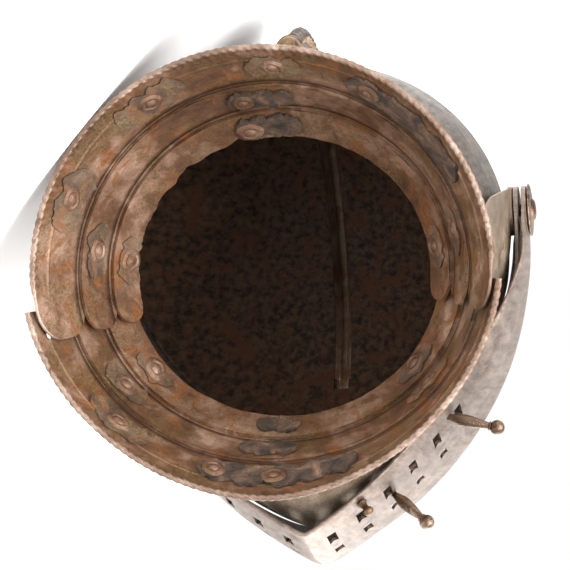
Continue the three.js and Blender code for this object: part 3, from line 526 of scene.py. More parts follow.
def hide():
    material, tree, shader, at = nodes_of("old_leather")
    broad = noise(tree, at, 0.09, 7, 0.65, warp=0.8)
    crack = tree.nodes.new("ShaderNodeTexVoronoi")
    crack.feature = "DISTANCE_TO_EDGE"
    crack.inputs["Scale"].default_value = 0.55
    tree.links.new(at, crack.inputs["Vector"])
    grain = noise(tree, at, 1.6, 6, 0.7)
    base = ramp(tree, add(tree, broad, grain, 0.3), [
        (0.5, srgb(34, 26, 20)), (0.64, srgb(70, 54, 42)),
        (0.8, srgb(116, 88, 67)), (0.95, srgb(154, 130, 110)),
    ])
    lines = ramp(tree, crack.outputs["Distance"], [(0.0, (0.35, 0.32, 0.3)), (0.09, (1, 1, 1))])
    tree.links.new(blend(tree, 0.7, base, lines, "MULTIPLY"), shader.inputs["Base Color"])
    shader.inputs["Roughness"].default_value = 0.78
    low = bump(tree, shader, lines, 0.0003, 0.6)
    bump(tree, shader, grain, 0.0004, 0.8, low)
    return material


HIDE = hide()


# Meshes
def linked(name, data):
    thing = bpy.data.objects.new(name, data)
    bpy.context.scene.collection.objects.link(thing)
    return thing


def mesh_object(name, points, faces, materials, indices=None, in_row=False):
    mesh = bpy.data.meshes.new(name)
    place = np.asarray(points, float) if in_row else to_row(points)
    mesh.from_pydata(place.tolist(), [], [list(map(int, face)) for face in faces])
    for material in materials:
        mesh.materials.append(material)
    if indices is not None:
        mesh.polygons.foreach_set("material_index", np.asarray(indices, np.int32))
    mesh.validate()
    mesh.update()
    return linked(name, mesh)


def outwards(points, faces):
    """The faces, turned over if the closed shape they make is inside out."""
    p = np.asarray(points)
    volume = 0
    for face in faces:
        a = p[face[:, 0]]
        for i in range(1, face.shape[1] - 1):
            volume += np.einsum("ij,ij->", a, np.cross(p[face[:, i]], p[face[:, i + 1]]))
    return faces if volume > 0 else [face[:, ::-1] for face in faces]


def grid_faces(rows, columns, start=0, wrap=False):
    i, j = np.meshgrid(np.arange(rows - 1), np.arange(columns if wrap else columns - 1), indexing="ij")
    k = (j + 1) % columns
    a = start + i * columns
    return np.stack([a + j, a + k, a + columns + k, a + columns + j], -1).reshape(-1, 4)


def sheet(name, surface, columns, rows, side, thick=PLATE, lift=0.0, materials=(), u=None, v=None, dent=None):
    """Plate of even thickness; the first material faces the surface's side and the second the other."""
    u = np.linspace(0, 1, columns + 1) if u is None else u
    v = np.linspace(0, 1, rows + 1) if v is None else v
    across, up = np.meshgrid(u, v)
    step = 1e-3
    p = surface(across, up)
    du = surface(np.minimum(across + step, 1), up) - surface(np.maximum(across - step, 0), up)
    dv = surface(across, np.minimum(up + step, 1)) - surface(across, np.maximum(up - step, 0))
    normal = unit(np.cross(du, dv)) * side
    if dent is not None:
        p = p + normal * dent(p)[..., None]
    first = (p + normal * lift).reshape(-1, 3)
    second = (p + normal * (lift + thick)).reshape(-1, 3)
    nu, nv = len(u), len(v)
    n = nu * nv
    sides = []
    along, upwards = np.arange(nu), np.arange(nv)
    for line in (along, along[::-1] + (nv - 1) * nu, upwards[::-1] * nu, upwards * nu + nu - 1):
        sides.append(np.stack([line[1:], line[:-1], line[:-1] + n, line[1:] + n], -1))
    sides = np.concatenate(sides)
    a = grid_faces(nv, nu)
    b = grid_faces(nv, nu, n)[:, ::-1]
    points = np.concatenate([first, second])
    faces = outwards(points, [a, b, sides])
    index = np.concatenate([np.zeros(len(a)), np.ones(len(b)) * (len(materials) > 1), np.zeros(len(sides))])
    return mesh_object(name, points, np.concatenate(faces), materials, index)


def loft_mesh(sections):
    """Points and faces of a solid through closed sections, with a fan at each end."""
    sections = np.asarray(sections)
    rows, columns = sections.shape[:2]
    points = np.concatenate([sections.reshape(-1, 3), sections[:1].mean(1), sections[-1:].mean(1)])
    first, last = rows * columns, rows * columns + 1
    j = np.arange(columns)
    k = (j + 1) % columns
    body = grid_faces(rows, columns, wrap=True)
    start = np.stack([k, j, np.full(columns, first)], -1)
    end = np.stack([j + (rows - 1) * columns, k + (rows - 1) * columns, np.full(columns, last)], -1)
    return points, outwards(points, [body, start, end])


def loft(name, sections, materials=()):
    points, faces = loft_mesh(sections)
    return mesh_object(name, points, [f for group in faces for f in group.tolist()], materials)


def stand(origin, direction):
    """Place of a turned piece: its origin and three directions, the middle one along its axis."""
    y = unit(np.asarray(direction, float))
    x = unit(np.cross(y, (0.0, 0.0, 1.0)))
    return np.asarray(origin, float), x, y, np.cross(x, y)


def lathe_points(profile, segments, place, shape=None):
    origin, x, y, z = place
    profile = np.asarray(profile, float)
    turn = np.linspace(0, 2 * math.pi, segments, endpoint=False) + 0 * profile[:, :1]
    radius, height = profile[:, :1] + 0 * turn, profile[:, 1:] + 0 * turn
    if shape is not None:
        radius, height = shape(radius, height, turn)
    spoke = np.cos(turn)[..., None] * x + np.sin(turn)[..., None] * z
    return origin + radius[..., None] * spoke + height[..., None] * y


def rounded(profile, share=0.35):
    """Profile with its corners rounded."""
    p = np.asarray(profile, float)
    out = [p[0]]
    for i in range(1, len(p) - 1):
        a, b = mix(p[i], p[i - 1], share), mix(p[i], p[i + 1], share)
        for t in (0, 0.5, 1):
            out.append((1 - t) ** 2 * a + 2 * t * (1 - t) * p[i] + t * t * b)
    out.append(p[-1])
    return np.array(out)


def lathe(name, profile, segments, place, materials=(), shape=None):
    profile = np.asarray(profile, float).copy()
    profile[0, 0] = max(profile[0, 0], 0.02)
    profile[-1, 0] = max(profile[-1, 0], 0.02)
    return loft(name, lathe_points(profile, segments, place, shape), materials)


def merge(name, *things):
    """One object of several closed shapes, with their materials."""
    bpy.ops.object.select_all(action="DESELECT")
    for thing in things:
        thing.select_set(True)
    bpy.context.view_layer.objects.active = things[0]
    if len(things) > 1:
        bpy.ops.object.join()
    things[0].name = name
    things[0].data.name = name
    return things[0]


def combine(thing, other, operation="DIFFERENCE"):
    change = thing.modifiers.new("combine", "BOOLEAN")
    change.object = other
    change.operation = operation
    change.solver = "MANIFOLD"
    shown = thing.evaluated_get(bpy.context.evaluated_depsgraph_get())
    mesh = bpy.data.meshes.new_from_object(shown)
    thing.modifiers.clear()
    if len(mesh.polygons) == 0:
        raise RuntimeError("nothing left of " + thing.name)
    old = thing.data
    thing.data = mesh
    bpy.data.meshes.remove(old)
    bpy.data.objects.remove(other)
    return thing


def shade(thing, angle):
    mesh = thing.data
    mesh.shade_smooth()
    mesh.set_sharp_from_angle(angle=math.radians(angle))


def read(items, key):
    values = np.zeros(3 * len(items))
    items.foreach_get(key, values)
    return values.reshape(-1, 3)


CHEEK_EASE = 0.0011


def keep_in_box(thing):
    """Eases the left cheek in and holds every point within the box of the solids."""
    mesh = thing.data
    at = read(mesh.vertices, "co")
    low, high = np.array(cad_box)
    at[:, 0] -= CHEEK_EASE * smooth(at[:, 0], high[0] - 0.013, high[0] + 0.001)
    mesh.vertices.foreach_set("co", np.clip(at, low, high).ravel())
    mesh.update()


def finish_piece(thing, body, slot, *nodes, angle=32):
    keep_in_box(thing)
    shade(thing, angle)
    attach(thing, body)
    if nodes:
        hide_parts(*nodes)


def drill(radius, reach, place, segments=20):
    return loft("drill", lathe_points([[radius, -reach], [radius, reach]], segments, place))


def pivot_place(side):
    return stand((0, -PIVOT_BACK, PIVOT_HEIGHT), (side, 0, 0))


def drill_pivots(thing):
    combine(thing, drill(PIVOT_HOLE, 160, pivot_place(1), 40))


def add_bosses(thing, half_width):
    for side in (1, -1):
        foot = half_width - 2.6
        boss = rounded([[0, foot], [PIVOT_BOSS, foot], [PIVOT_BOSS, half_width], [0, half_width]], 0.06)
        combine(thing, lathe("boss", boss, 64, pivot_place(side)), "UNION")


# Skull with its comb
def skull_rings(wall, drop=0.0):
    heights = np.concatenate([
        np.linspace(COLLAR_HEIGHT - drop, COLLAR_TOP, 5)[:-1],
        np.linspace(COLLAR_TOP, CENTRE_HEIGHT, 40),
        CENTRE_HEIGHT + (CROWN - wall) * np.sin(np.radians(np.linspace(2.5, 88.5, 44))),
    ])
    turns = np.linspace(0, 2 * math.pi, 220, endpoint=False)
    height, turn = np.meshgrid(heights, turns, indexing="ij")
    section = skull_section(height, wall)
    dx, dy = np.sin(turn), -np.cos(turn)
    size = skull_radius(section, dx, dy)
    return vec(dx * size, section[3] + dy * size, height)


def crest(angle):
    """Points of the skull's outline from the side, by the angle about its centre."""
    reach = np.where(angle <= 180, CROWN, CENTRE_HEIGHT - COLLAR_TOP)
    height = CENTRE_HEIGHT + reach * np.sin(np.radians(angle))
    _, rear, brow, centre = skull_section(height, 0)
    return vec(0, centre + np.where(angle < 90, brow, -rear), height)


def comb_sections(wall, steps):
    inset = 3 if wall > 0 else 0
    angle = np.linspace(COMB_START + inset, COMB_END - inset, steps)
    base = crest(angle)
    ahead = unit(crest(angle + 1) - crest(angle - 1))
    out = vec(0, ahead[:, 2], -ahead[:, 1])
    flip = np.sign(out[:, 1] * (base[:, 1] + CENTRE_BACK) + out[:, 2] * (base[:, 2] - CENTRE_HEIGHT))
    out *= flip[:, None]
    front = smooth(angle, COMB_START - 8, COMB_START + 45)
    top = np.maximum(COMB_RISE * front * (1 - 0.25 * smooth(angle, 175, COMB_END)) - wall, 1)
    foot = mix(COMB_BASE, COMB_TAIL, smooth(angle, 130, COMB_END)) - wall
    edge = COMB_EDGE - wall
    neck = edge * 0.72
    run = np.concatenate([[0], np.cumsum(np.linalg.norm(np.diff(base + out * top[:, None], axis=0), axis=1))])
    rows = []
    turns = np.radians(np.linspace(-55, 235, 20))
    for i in range(steps):
        t = top[i]
        round_edge = min(edge, t * 0.45)
        rope = 0.0 if wall > 0 else 0.42
        twist = np.cos(2 * math.pi * run[i] / CREST_PITCH + 2.0 * turns)
        swell = 1 + rope * 0.3 * (twist - 0.6) * smooth(t, 3, 9)
        across, up = round_edge * np.cos(turns) * swell, t - round_edge + round_edge * np.sin(turns) * swell
        arc = np.stack([across, up], -1)
        right = np.array([[foot[i], -6], [foot[i], 0], [mix(foot[i], neck, 0.55), t * 0.2], [neck, t * 0.5]])
        left = (right * [-1, 1])[::-1]
        flat = np.concatenate([right, arc, left])
        rows.append(base[i] + flat[:, :1] * np.array([1.0, 0, 0]) + flat[:, 1:] * out[i])
    return np.array(rows)


def face_cut():
    def bend(a, b, c, count=12):
        t = np.linspace(0, 1, count)[1:, None]
        return (1 - t) ** 2 * np.array(a) + 2 * t * (1 - t) * np.array(b) + t * t * np.array(c)
    ahead = SKULL_BROW + 40
    start = (FACE_EDGE, PIVOT_HEIGHT - 10)
    knee = (FACE_EDGE + 22, BROW_HEIGHT - 16)
    outline = np.concatenate([
        [(FACE_EDGE, COLLAR_HEIGHT - 20), start],
        bend(start, (FACE_EDGE, BROW_HEIGHT - 22), knee),
        bend(knee, (FACE_EDGE + 48, BROW_HEIGHT), (ahead, BROW_HEIGHT)),
        [(ahead, COLLAR_HEIGHT - 20)],
    ])
    return loft("cut", [np.c_[np.full(len(outline), x), outline] for x in (-130.0, 130.0)])


# Rivets: lame, angle from the back in degrees, share of the band's height, and the crust under the
# washer (half width in degrees, low and high share of the band), or None on a leather
RIVETS = {
    "rear_neck_left": (0, -81.5, 0.57, (9, 0.2, 0.86)),
    "rear_neck_middle": (0, -9, 0.57, None),
    "rear_neck_right": (0, 84.5, 0.57, (8, 0.2, 0.84)),
    "rear_middle_left": (1, -79, 0.5, (9, 0.15, 0.85)),
    "rear_middle_back": (1, -7, 0.5, None),
    "rear_middle_right": (1, 81, 0.5, (8, 0.16, 0.85)),
    "rear_rim_left": (2, -65.5, 0.5, (9.5, 0.18, 0.84)),
    "rear_rim_back_left": (2, -30.5, 0.5, (11, 0.17, 0.83)),
    "rear_rim_back": (2, 6, 0.5, (8, 0.22, 0.8)),
    "rear_rim_right": (2, 34, 0.5, None),
    "front_neck_left": (0, 237, 0.57, (8, 0.2, 0.84)),
    "front_neck_right": (0, 128.5, 0.57, (9, 0.2, 0.86)),
    "front_middle_left": (1, 237.5, 0.5, (8, 0.14, 0.84)),
    "front_middle_right": (1, 129.5, 0.5, (9, 0.15, 0.85)),
    "front_rim_left": (2, 229, 0.5, (10, 0.2, 0.82)),
    "front_rim_middle_left": (2, 199, 0.5, None),
    "front_rim_middle": (2, 181.5, 0.5, None),
}
# Leathers: lame, first and last angle from the back in degrees, low and high share of the band
LEATHERS = {
    "rear_rim": (2, 27, 69, 0.22, 0.8), "rear_middle": (1, -12, 10, 0.15, 0.85),
    "rear_neck": (0, -14, 12, 0.12, 0.85), "front_rim": (2, 157, 204, 0.25, 0.82),
    "front_middle": (1, 177, 196, 0.15, 0.8), "front_neck": (0, 177, 194, 0.2, 0.8),
}


def in_front(name):
    return name.startswith("front_")


def rivet_place(name):
    k, turn, share, _ = RIVETS[name]
    front = in_front(name)
    height, turn = band_height(k, share), math.radians(turn)
    return stand(lame_point(front, k, height, turn), lame_out(front, k, height, turn))


def rivet_drills(front, k, low=-math.inf, high=math.inf):
    held = [n for n in RIVETS if in_front(n) == front and RIVETS[n][0] == k and low < RIVETS[n][1] < high]
    return merge("drill", *[drill(RIVET_HOLE, 7, rivet_place(n)) for n in held]) if held else None


def build_skull():
    thing = loft("skull_shell", skull_rings(0), [SKULL_IRON, INSIDE, CHANNEL_PAINTED_LIGHT])
    combine(thing, loft("comb", comb_sections(0, 220)), "UNION")
    combine(thing, loft("hollow", skull_rings(PLATE, 4)))
    combine(thing, loft("channel", comb_sections(PLATE, 120)))
    combine(thing, face_cut())
    drill_pivots(thing)
    combine(thing, rivet_drills(False, 0))
    polygons = thing.data.polygons
    p, n = to_helmet(read(polygons, "center")), read(polygons, "normal") @ TURN
    section = skull_section(p[:, 2], 0)
    dx, dy = p[:, 0], p[:, 1] - section[3]
    size = np.hypot(dx, dy) + 1e-9
    outer = skull_radius([np.maximum(part, 1e-3) for part in section[:3]], dx / size, dy / size)
    inside = size < outer - 0.9
    in_comb = (~inside) & (np.abs(p[:, 0]) < COMB_TAIL) & (size > outer + 0.5)
    radial = np.einsum("ij,ij->i", p - np.array([0, -CENTRE_BACK, CENTRE_HEIGHT]), n)
    # faces of the comb's channel, which take the pale painted light
    channel = in_comb & ((n[:, 0] * np.sign(p[:, 0]) < -0.5) | (radial < 0))
    polygons.foreach_set("material_index", (inside + 2 * channel).astype(np.int32))
    finish_piece(thing, "skull", "steel", "skull")


build_skull()


def build_holder():
    top = float(crest(np.array([float(COMB_END)]))[0, 2]) - 7
    def outline(height, grow):
        _, rear, _, centre = skull_section(height, 0)
        y = float(centre - rear) - SEAT
        turn = np.linspace(0, math.pi, 40)
        across, behind = (HOLDER_WIDE - grow) * np.cos(turn), (HOLDER_REACH - grow) * np.sin(turn)
        points = np.c_[across, y - behind, 0 * turn + height]
        points[[0, -1], 1] -= grow
        return points
    foot = top - HOLDER_LENGTH
    rows = [(foot, 2.5), (foot + 0.8, 1.2), (foot + 2, 0.4), (foot + 3.2, 0.1)]
    rows += [(h, 0) for h in np.linspace(foot + 4.5, top - 3.2, 4)]
    rows += [(h, -0.9 * math.sin(math.pi * (h - top + 3) / 3)) for h in np.linspace(top - 3, top, 9)]
    thing = loft("plume_socket", [outline(h, g) for h, g in rows], [BRASS])
    floor_at = foot + 2 * PLATE
    inner = ((floor_at, PLATE + 1), (floor_at + 2, PLATE + 0.3), (top + 1, PLATE))
    combine(thing, loft("cup", [outline(h, g) for h, g in inner]))
    finish_piece(thing, "skull", "brass", "plume_holder")


build_holder()


# Neck lames
SIDE = {True: "front", False: "rear"}
BODY = {True: "bevor", False: "skull"}


def worn(front, k, turn):
    """How far the top edge of a lame has broken down, in millimetres."""
    if front or k:
        return 0.35 * wobble(np.asarray(turn) * 9, 40 + k + 3 * front)
    t = np.degrees(turn)
    gone = smooth(t, -104, -88) * (1 - smooth(t, -14, -2))
    return gone * (1.7 + 1.5 * wobble(t, 5, 5, 0.22)) + 0.3 * wobble(t, 8, 4, 0.5)


def lame_edges(front, k, turn):
    low, high = lame_span(front, k, turn)
    ragged = 0.3 * wobble(np.asarray(turn) * 11, 60 + k + 3 * front)
    return low + (ragged if k < 2 else 0), high - worn(front, k, turn)


def plain_lame(front, k):
    ends = lame_ends(front)
    name = f"{SIDE[front]}_lame_{k + 1}"
    def surface(u, v):
        turn = mix(ends[0], ends[1], u)
        low, high = lame_edges(front, k, turn)
        return lame_point(front, k, mix(low, high, v), turn)
    dent = ripples(0.12, ((0.11, 0.05, 0), 3 + k), ((0, 0.1, 0.2), 9))
    u = np.linspace(0, 1, 361)
    if not front:
        u = 0.5 + 0.5 * np.sin((u - 0.5) * math.pi * 0.97) / math.sin(math.pi * 0.485)
        u[0], u[-1] = 0, 1
    thing = sheet(name + "_plate", surface, 360, 18, 1, materials=[LAME, LAME_OUT], u=u, dent=dent)
    combine(thing, rivet_drills(front, k))
    finish_piece(thing, BODY[front], "rusted_steel", name)


def rim_lame(front):
    """Lowest lame: its edge is turned over into a roped border, with a thin raised line inside it."""
    ends = lame_ends(front)
    count = 1300
    turns = np.linspace(*ends, count)
    if not front:
        turns = REAR_END * np.sin(np.linspace(-1, 1, count) * 1.5) / math.sin(1.5)
    low, high = lame_edges(front, 2, turns)
    fade = np.ones(count) if front else 1 - smooth(np.degrees(np.abs(turns)), 88, 94)
    radius = mix(PLATE / 2, BORDER, fade)
    here = lame_point(front, 2, low, turns)
    run = np.concatenate([[0], np.cumsum(np.linalg.norm(np.diff(here, axis=0), axis=1))])
    ahead = unit(lame_point(front, 2, low, turns + 0.01) - lame_point(front, 2, low, turns - 0.01))
    side = unit(np.cross(ahead, [0.0, 0, 1.0]))
    middle = here + side * radius[:, None]
    section = []
    for angle in np.radians(np.linspace(185, 405, 20)):
        twist = np.cos(2 * math.pi * run / ROPE_PITCH + 2.2 * angle)
        r = radius * (1 + fade * (0.12 * twist - 0.03))
        rise = np.outer(r * np.sin(angle), [0, 0, 1.0])
        section.append(middle + side * (r * np.cos(angle))[:, None] + rise)
    above = low + 2 * radius
    steps = np.linspace(0, 1, 16)
    def line_of(share, outside):
        height = mix(above, high, share)
        raised = LINE_RISE * np.exp(-(((height - LINE_HEIGHT) / LINE_WIDTH) ** 2)) * fade
        away = np.full(count, PLATE) if outside else -raised
        return lame_point(front, 2, height, turns) + lame_out(front, 2, height, turns) * away[:, None]
    for share in steps:
        section.append(line_of(share, True))
    for share in np.concatenate([np.linspace(1, 0.3, 10), np.linspace(0.27, 0.02, 14)]):
        section.append(line_of(share, False))
    rows = np.stack(section, 1)
    name = f"{SIDE[front]}_lame_3"
    thing = loft(name + "_plate", rows, [LAME, LAME_OUT, PAINTED_EDGE_HIGHLIGHT])
    width = rows.shape[1]
    columns = np.arange((count - 1) * width) % width
    # the roped border's faces take the painted edge highlight, the outer faces the outer iron, the rest the
    # lame iron
    index = np.where(columns < 19, 2, np.where(columns < 19 + len(steps), 1, 0))
    index = np.concatenate([index, np.zeros(len(thing.data.polygons) - len(index))])
    thing.data.polygons.foreach_set("material_index", index.astype(np.int32))
    combine(thing, rivet_drills(front, 2))
    if front:
        place = (True, 2, RIM_HOLE_HEIGHT, RIM_HOLE_TURN)
        combine(thing, drill(RIM_HOLE, 7, stand(lame_point(*place), lame_out(*place)), 28))
    finish_piece(thing, BODY[front], "rusted_steel", name, angle=50)


for is_front in (False, True):
    for number in (0, 1):
        plain_lame(is_front, number)
    rim_lame(is_front)


# Rivets, the washers under them and what is left of the leathers
def rivet(name, seed):
    k, _, _, crust = RIVETS[name]
    under = (0.2 if crust else LEATHER) + SEAT + 0.1
    over = (2 * PLATE + PLAY if k == 0 else PLATE) + SEAT
    place = rivet_place(name)
    rng = np.random.default_rng(seed)
    tilt, phase = rng.uniform(0.03, 0.09), rng.uniform(0, 6.28)
    def shape(radius, height, angle):
        ripple = 1 + tilt * np.sin(2 * angle + phase) + 0.5 * tilt * np.sin(5 * angle + 2 * phase)
        return radius * np.where(height < -under + 0.3, ripple, 1), height
    wide = WASHER * rng.uniform(1.12, 1.3)
    inner = [
        [0, -under - 1.8], [1.2, -under - 1.75], [2.2, -under - 1.35], [2.7, -under - 0.85],
        [3.3, -under - 0.75], [4.0, -under - 1.2], [4.6, -under - 1.15], [wide - 0.9, -under - 0.75],
        [wide, -under - 0.35], [wide, -under], [1.6, -under],
    ]
    outer = [
        [1.6, over], [3.5, over], [3.4, over + 0.5], [2.6, over + 1.2], [1.4, over + 1.65], [0, over + 1.75],
    ]
    profile = np.concatenate([rounded(inner), outer[:2], rounded(outer[2:])])
    node = "rivet_" + name
    thing = lathe(node + "_stud", profile, 36, place, [RIVET], shape)
    finish_piece(thing, BODY[in_front(name)], "rusted_steel", node, angle=60)


for seed, each in enumerate(RIVETS):
    rivet(each, 100 + seed)


def scrap(
    name, front, k, low_turn, high_turn, low, high, seed, nodes=(), thick=LEATHER, columns=90, stuff=HIDE
):
    """Ragged remains of leather, rust and lining stuck to a lame."""
    def surface(u, v):
        turn = np.radians(mix(low_turn, high_turn, u))
        length = high_turn - low_turn
        end = np.minimum(1, np.minimum(u, 1 - u) * length / 3.5) ** 0.5
        middle = (low + high) / 2 + 0.04 * wobble(u * length, seed + 7, 3, 0.35)
        half = (high - low) / 2 * end
        bottom = middle - half * (1 + 0.28 * wobble(u * length, seed, 5, 0.6))
        top = middle + half * (1 + 0.28 * wobble(u * length, seed + 3, 5, 0.6))
        return lame_point(front, k, band_height(k, mix(bottom, top, v)), turn)
    dent = ripples(0.22, ((0.6, 0.35, 0), seed + 1, 4), ((0, 0, 0.5), seed + 2))
    u = np.linspace(0.004, 0.996, columns)
    thing = sheet(name, surface, columns, 12, -1, thick, SEAT, [stuff], u=u, dent=dent)
    near = rivet_drills(front, k, low_turn - 3, high_turn + 3)
    if near is not None:
        combine(thing, near)
    finish_piece(thing, BODY[front], "leather", *nodes)


for seed, (each, (number, start, stop, low, high)) in enumerate(LEATHERS.items()):
    node = "leather_" + each
    scrap(node + "_strip", in_front(each), number, start, stop, low, high, 200 + 20 * seed, [node])

crusted = [name for name in RIVETS if RIVETS[name][3]]
for seed, each in enumerate(crusted):
    number, angle, _, (half, low, high) = RIVETS[each]
    scrap(
        f"rivet_{each}_crust", in_front(each), number, angle - half, angle + half, low, high,
        500 + 20 * seed, thick=0.35, columns=60, stuff=CRUST,
    )


# Bevor, ventail and visor
def face_dent(amount, seed):
    return ripples(amount, ((0.05, 0, 0.03), seed, 3), ((0, 0.04, 0.07), seed + 1, 3))


def lower_bead(surface, lift, radius, material):
    """Rounded bead along the lower edge of a plate."""
    u = np.linspace(0.02, 0.98, 500)
    step = 1e-3
    p = surface(u, 0 * u)
    du = surface(np.minimum(u + step, 1), 0 * u) - surface(np.maximum(u - step, 0), 0 * u)
    dv = surface(u, 0 * u + step) - surface(u, 0 * u)
    normal = unit(np.cross(du, dv))
    binormal = unit(np.cross(unit(np.gradient(p, axis=0)), normal))
    turns = np.linspace(0, 2 * math.pi, 14, endpoint=False)[None, :, None]
    ring = np.cos(turns) * normal[:, None] + np.sin(turns) * binormal[:, None]
    return loft("bead", (p + normal * lift)[:, None] + radius * ring, [material])


def build_bevor():
    rows = np.concatenate([np.linspace(0, 1 / 7, 6)[:-1], np.linspace(1 / 7, 1, 56)])
    thing = sheet("bevor_plate", bevor_surface, 260, 60, 1, materials=[BEVOR_IRON, INSIDE], v=rows)
    add_bosses(thing, BEVOR_WIDE + 0.2)
    drill_pivots(thing)
    combine(thing, rivet_drills(True, 0))
    finish_piece(thing, "bevor", "steel", "bevor")


build_bevor()


def on_ventail(distance, lift, side=1):
    """Point of the ventail at a distance from the keel and a height over its lower edge."""
    u = np.concatenate([[0.5], 0.5 + side * np.arange(1, 250) * 0.002])
    length = np.linalg.norm(ventail_surface(u, 1 + 0 * u) - ventail_surface(u, 0 * u), axis=-1)
    line = ventail_surface(u, lift / length)
    run = np.concatenate([[0], np.cumsum(np.linalg.norm(np.diff(line, axis=0), axis=1))])
    here = np.interp(distance, run, u)
    def at(a, extra=0.0):
        size = np.linalg.norm(ventail_surface(a, 1.0) - ventail_surface(a, 0.0))
        return ventail_surface(a, lift / size + extra)
    point = at(here)
    across = unit(at(here + 0.01) - at(here - 0.01))
    rise = unit(at(here, 0.02) - at(here, -0.02))
    out = unit(np.cross(rise, across))
    if out @ np.array([point[0], point[1], 0]) < 0:
        out = -out
    return point, rise, out


def breath(side, distance, lift, length):
    """A tall slot with a swallow-tail notch in its upper end."""
    half, top = BREATH_HALF, length / 2
    flat = np.array([
        [-half, -top], [half, -top], [half, top], [half * 0.25, top - BREATH_NOTCH],
        [-half * 0.25, top - BREATH_NOTCH], [-half, top],
    ])
    point, rise, out = on_ventail(distance, lift, side)
    x = unit(np.cross(rise, out))
    rows = [point + out * d + flat[:, :1] * x + flat[:, 1:] * rise for d in (-6.0, 6.0)]
    return loft("slot", rows)


# Pegs: distance from the keel and height over the lower edge; the lifting pegs lean as aimed
PEGS = {"lifting_peg_rear": (98, 14), "lifting_peg_front": (52, 29), "catch_stud": (34, 6)}
PEG_AIM = {"lifting_peg_rear": (0.959, 0.275, 0.07), "lifting_peg_front": (0.672, 0.577, -0.464)}


def build_ventail():
    dent = face_dent(0.35, 70)
    thing = sheet("ventail_plate", ventail_surface, 300, 60, 1, materials=[STEEL, INSIDE], dent=dent)
    # the bead takes the painted edge highlight
    combine(thing, lower_bead(ventail_surface, 0.7, 1.15, PAINTED_EDGE_HIGHLIGHT), "UNION")
    add_bosses(thing, VENTAIL_WIDE)
    drill_pivots(thing)
    cuts = []
    for side in (-1, 1):
        for lift, count, length in BREATH_ROWS:
            cuts += [breath(side, BREATH_FIRST + i * BREATH_STEP, lift, length) for i in range(count)]
    for place in PEGS.values():
        point, _, out = on_ventail(*place)
        cuts.append(drill(PEG_HOLE, 8, stand(point, out)))
    combine(thing, merge("cuts", *cuts))
    finish_piece(thing, "ventail", "steel", "ventail")


build_ventail()


def section_of(p):
    return skull_section(np.minimum(p[..., 2], CENTRE_HEIGHT + CROWN - 1), 0)


def off_skull(p):
    """Distance of points from the skull's outer face, near enough."""
    section = section_of(p)
    dx, dy = p[..., 0], p[..., 1] - section[3]
    size = np.hypot(dx, dy) + 1e-6
    gap = size - skull_radius(section, dx / size, dy / size)
    share = np.clip((p[..., 2] - CENTRE_HEIGHT) / CROWN, 0, 1)
    return np.maximum(gap * np.sqrt(1 - share**2), p[..., 2] - (CENTRE_HEIGHT + CROWN))


def visor_drawn_in(u, v):
    """The visor's surface, drawn in towards the skull at its upper edge as far as its swing allows."""
    p = visor_surface(u, v)
    ahead, above = p[..., 1] + PIVOT_BACK, p[..., 2] - PIVOT_HEIGHT
    reach, angle = np.hypot(ahead, above), np.arctan2(above, ahead)
    least = np.full(reach.shape, np.inf)
    for turn in np.radians(np.linspace(0, SWING_DEGREES, 43)):
        y, z = reach * np.cos(angle + turn) - PIVOT_BACK, reach * np.sin(angle + turn) + PIVOT_HEIGHT
        least = np.minimum(least, off_skull(vec(p[..., 0], y, z)))
    pull = np.clip(np.minimum(off_skull(p) - VISOR_CLEAR, least - SWING_CLEAR), 0, VISOR_DRAWN_MOST)
    pull = pull * smooth(v, 0.25, 0.95) * smooth(reach, 12, 36)
    pull = pull - VISOR_FOOT_OUT * (1 - smooth(v, 0, 0.4)) * smooth(reach, 40, 90)
    centre = section_of(p)[3]
    dx, dy = p[..., 0], p[..., 1] - centre
    scale = 1 - pull / (np.hypot(dx, dy) + 1e-6)
    return vec(dx * scale, centre + dy * scale, p[..., 2])


def brow_notch():
    """Arch cut into the visor's upper edge, where the comb passes."""
    lowest = PIVOT_HEIGHT + NOTCH_LIFT
    turns = np.linspace(0, math.pi, 24)
    arch = np.concatenate([
        np.c_[NOTCH_HALF * np.cos(turns), lowest + NOTCH_HALF - NOTCH_HALF * np.sin(turns)],
        [[-NOTCH_HALF, lowest + 40], [NOTCH_HALF, lowest + 40]],
    ])
    return loft("notch", [
        np.c_[arch[:, 0], np.full(len(arch), y), arch[:, 1]] for y in (BROW_REACH - 8, BROW_REACH + 52)
    ])


def sight(side):
    ahead = np.array([0, math.cos(SIGHT_LEAN), math.sin(SIGHT_LEAN)])
    up = np.array([0, -math.sin(SIGHT_LEAN), math.cos(SIGHT_LEAN)])
    ends = np.radians(np.linspace(-90, 90, 12))
    right = np.c_[SIGHT_HALF + SIGHT_ROUND * np.cos(ends), SIGHT_ROUND * np.sin(ends)]
    flat = np.concatenate([right, -right])
    origin = np.array([side * SIGHT_SIDE, -PIVOT_BACK, PIVOT_HEIGHT])
    outline = origin + flat[:, :1] * [1.0, 0, 0] + flat[:, 1:] * up
    return loft("sight", [outline + ahead * d for d in (70.0, 210.0)])


def build_visor():
    dent = face_dent(0.3, 90)
    thing = sheet("visor_plate", visor_drawn_in, 260, 60, 1, materials=[STEEL, INSIDE], dent=dent)
    add_bosses(thing, VISOR_WIDE)
    drill_pivots(thing)
    combine(thing, brow_notch())
    for side in (1, -1):
        combine(thing, sight(side))
    finish_piece(thing, "visor", "steel", "visor")


build_visor()


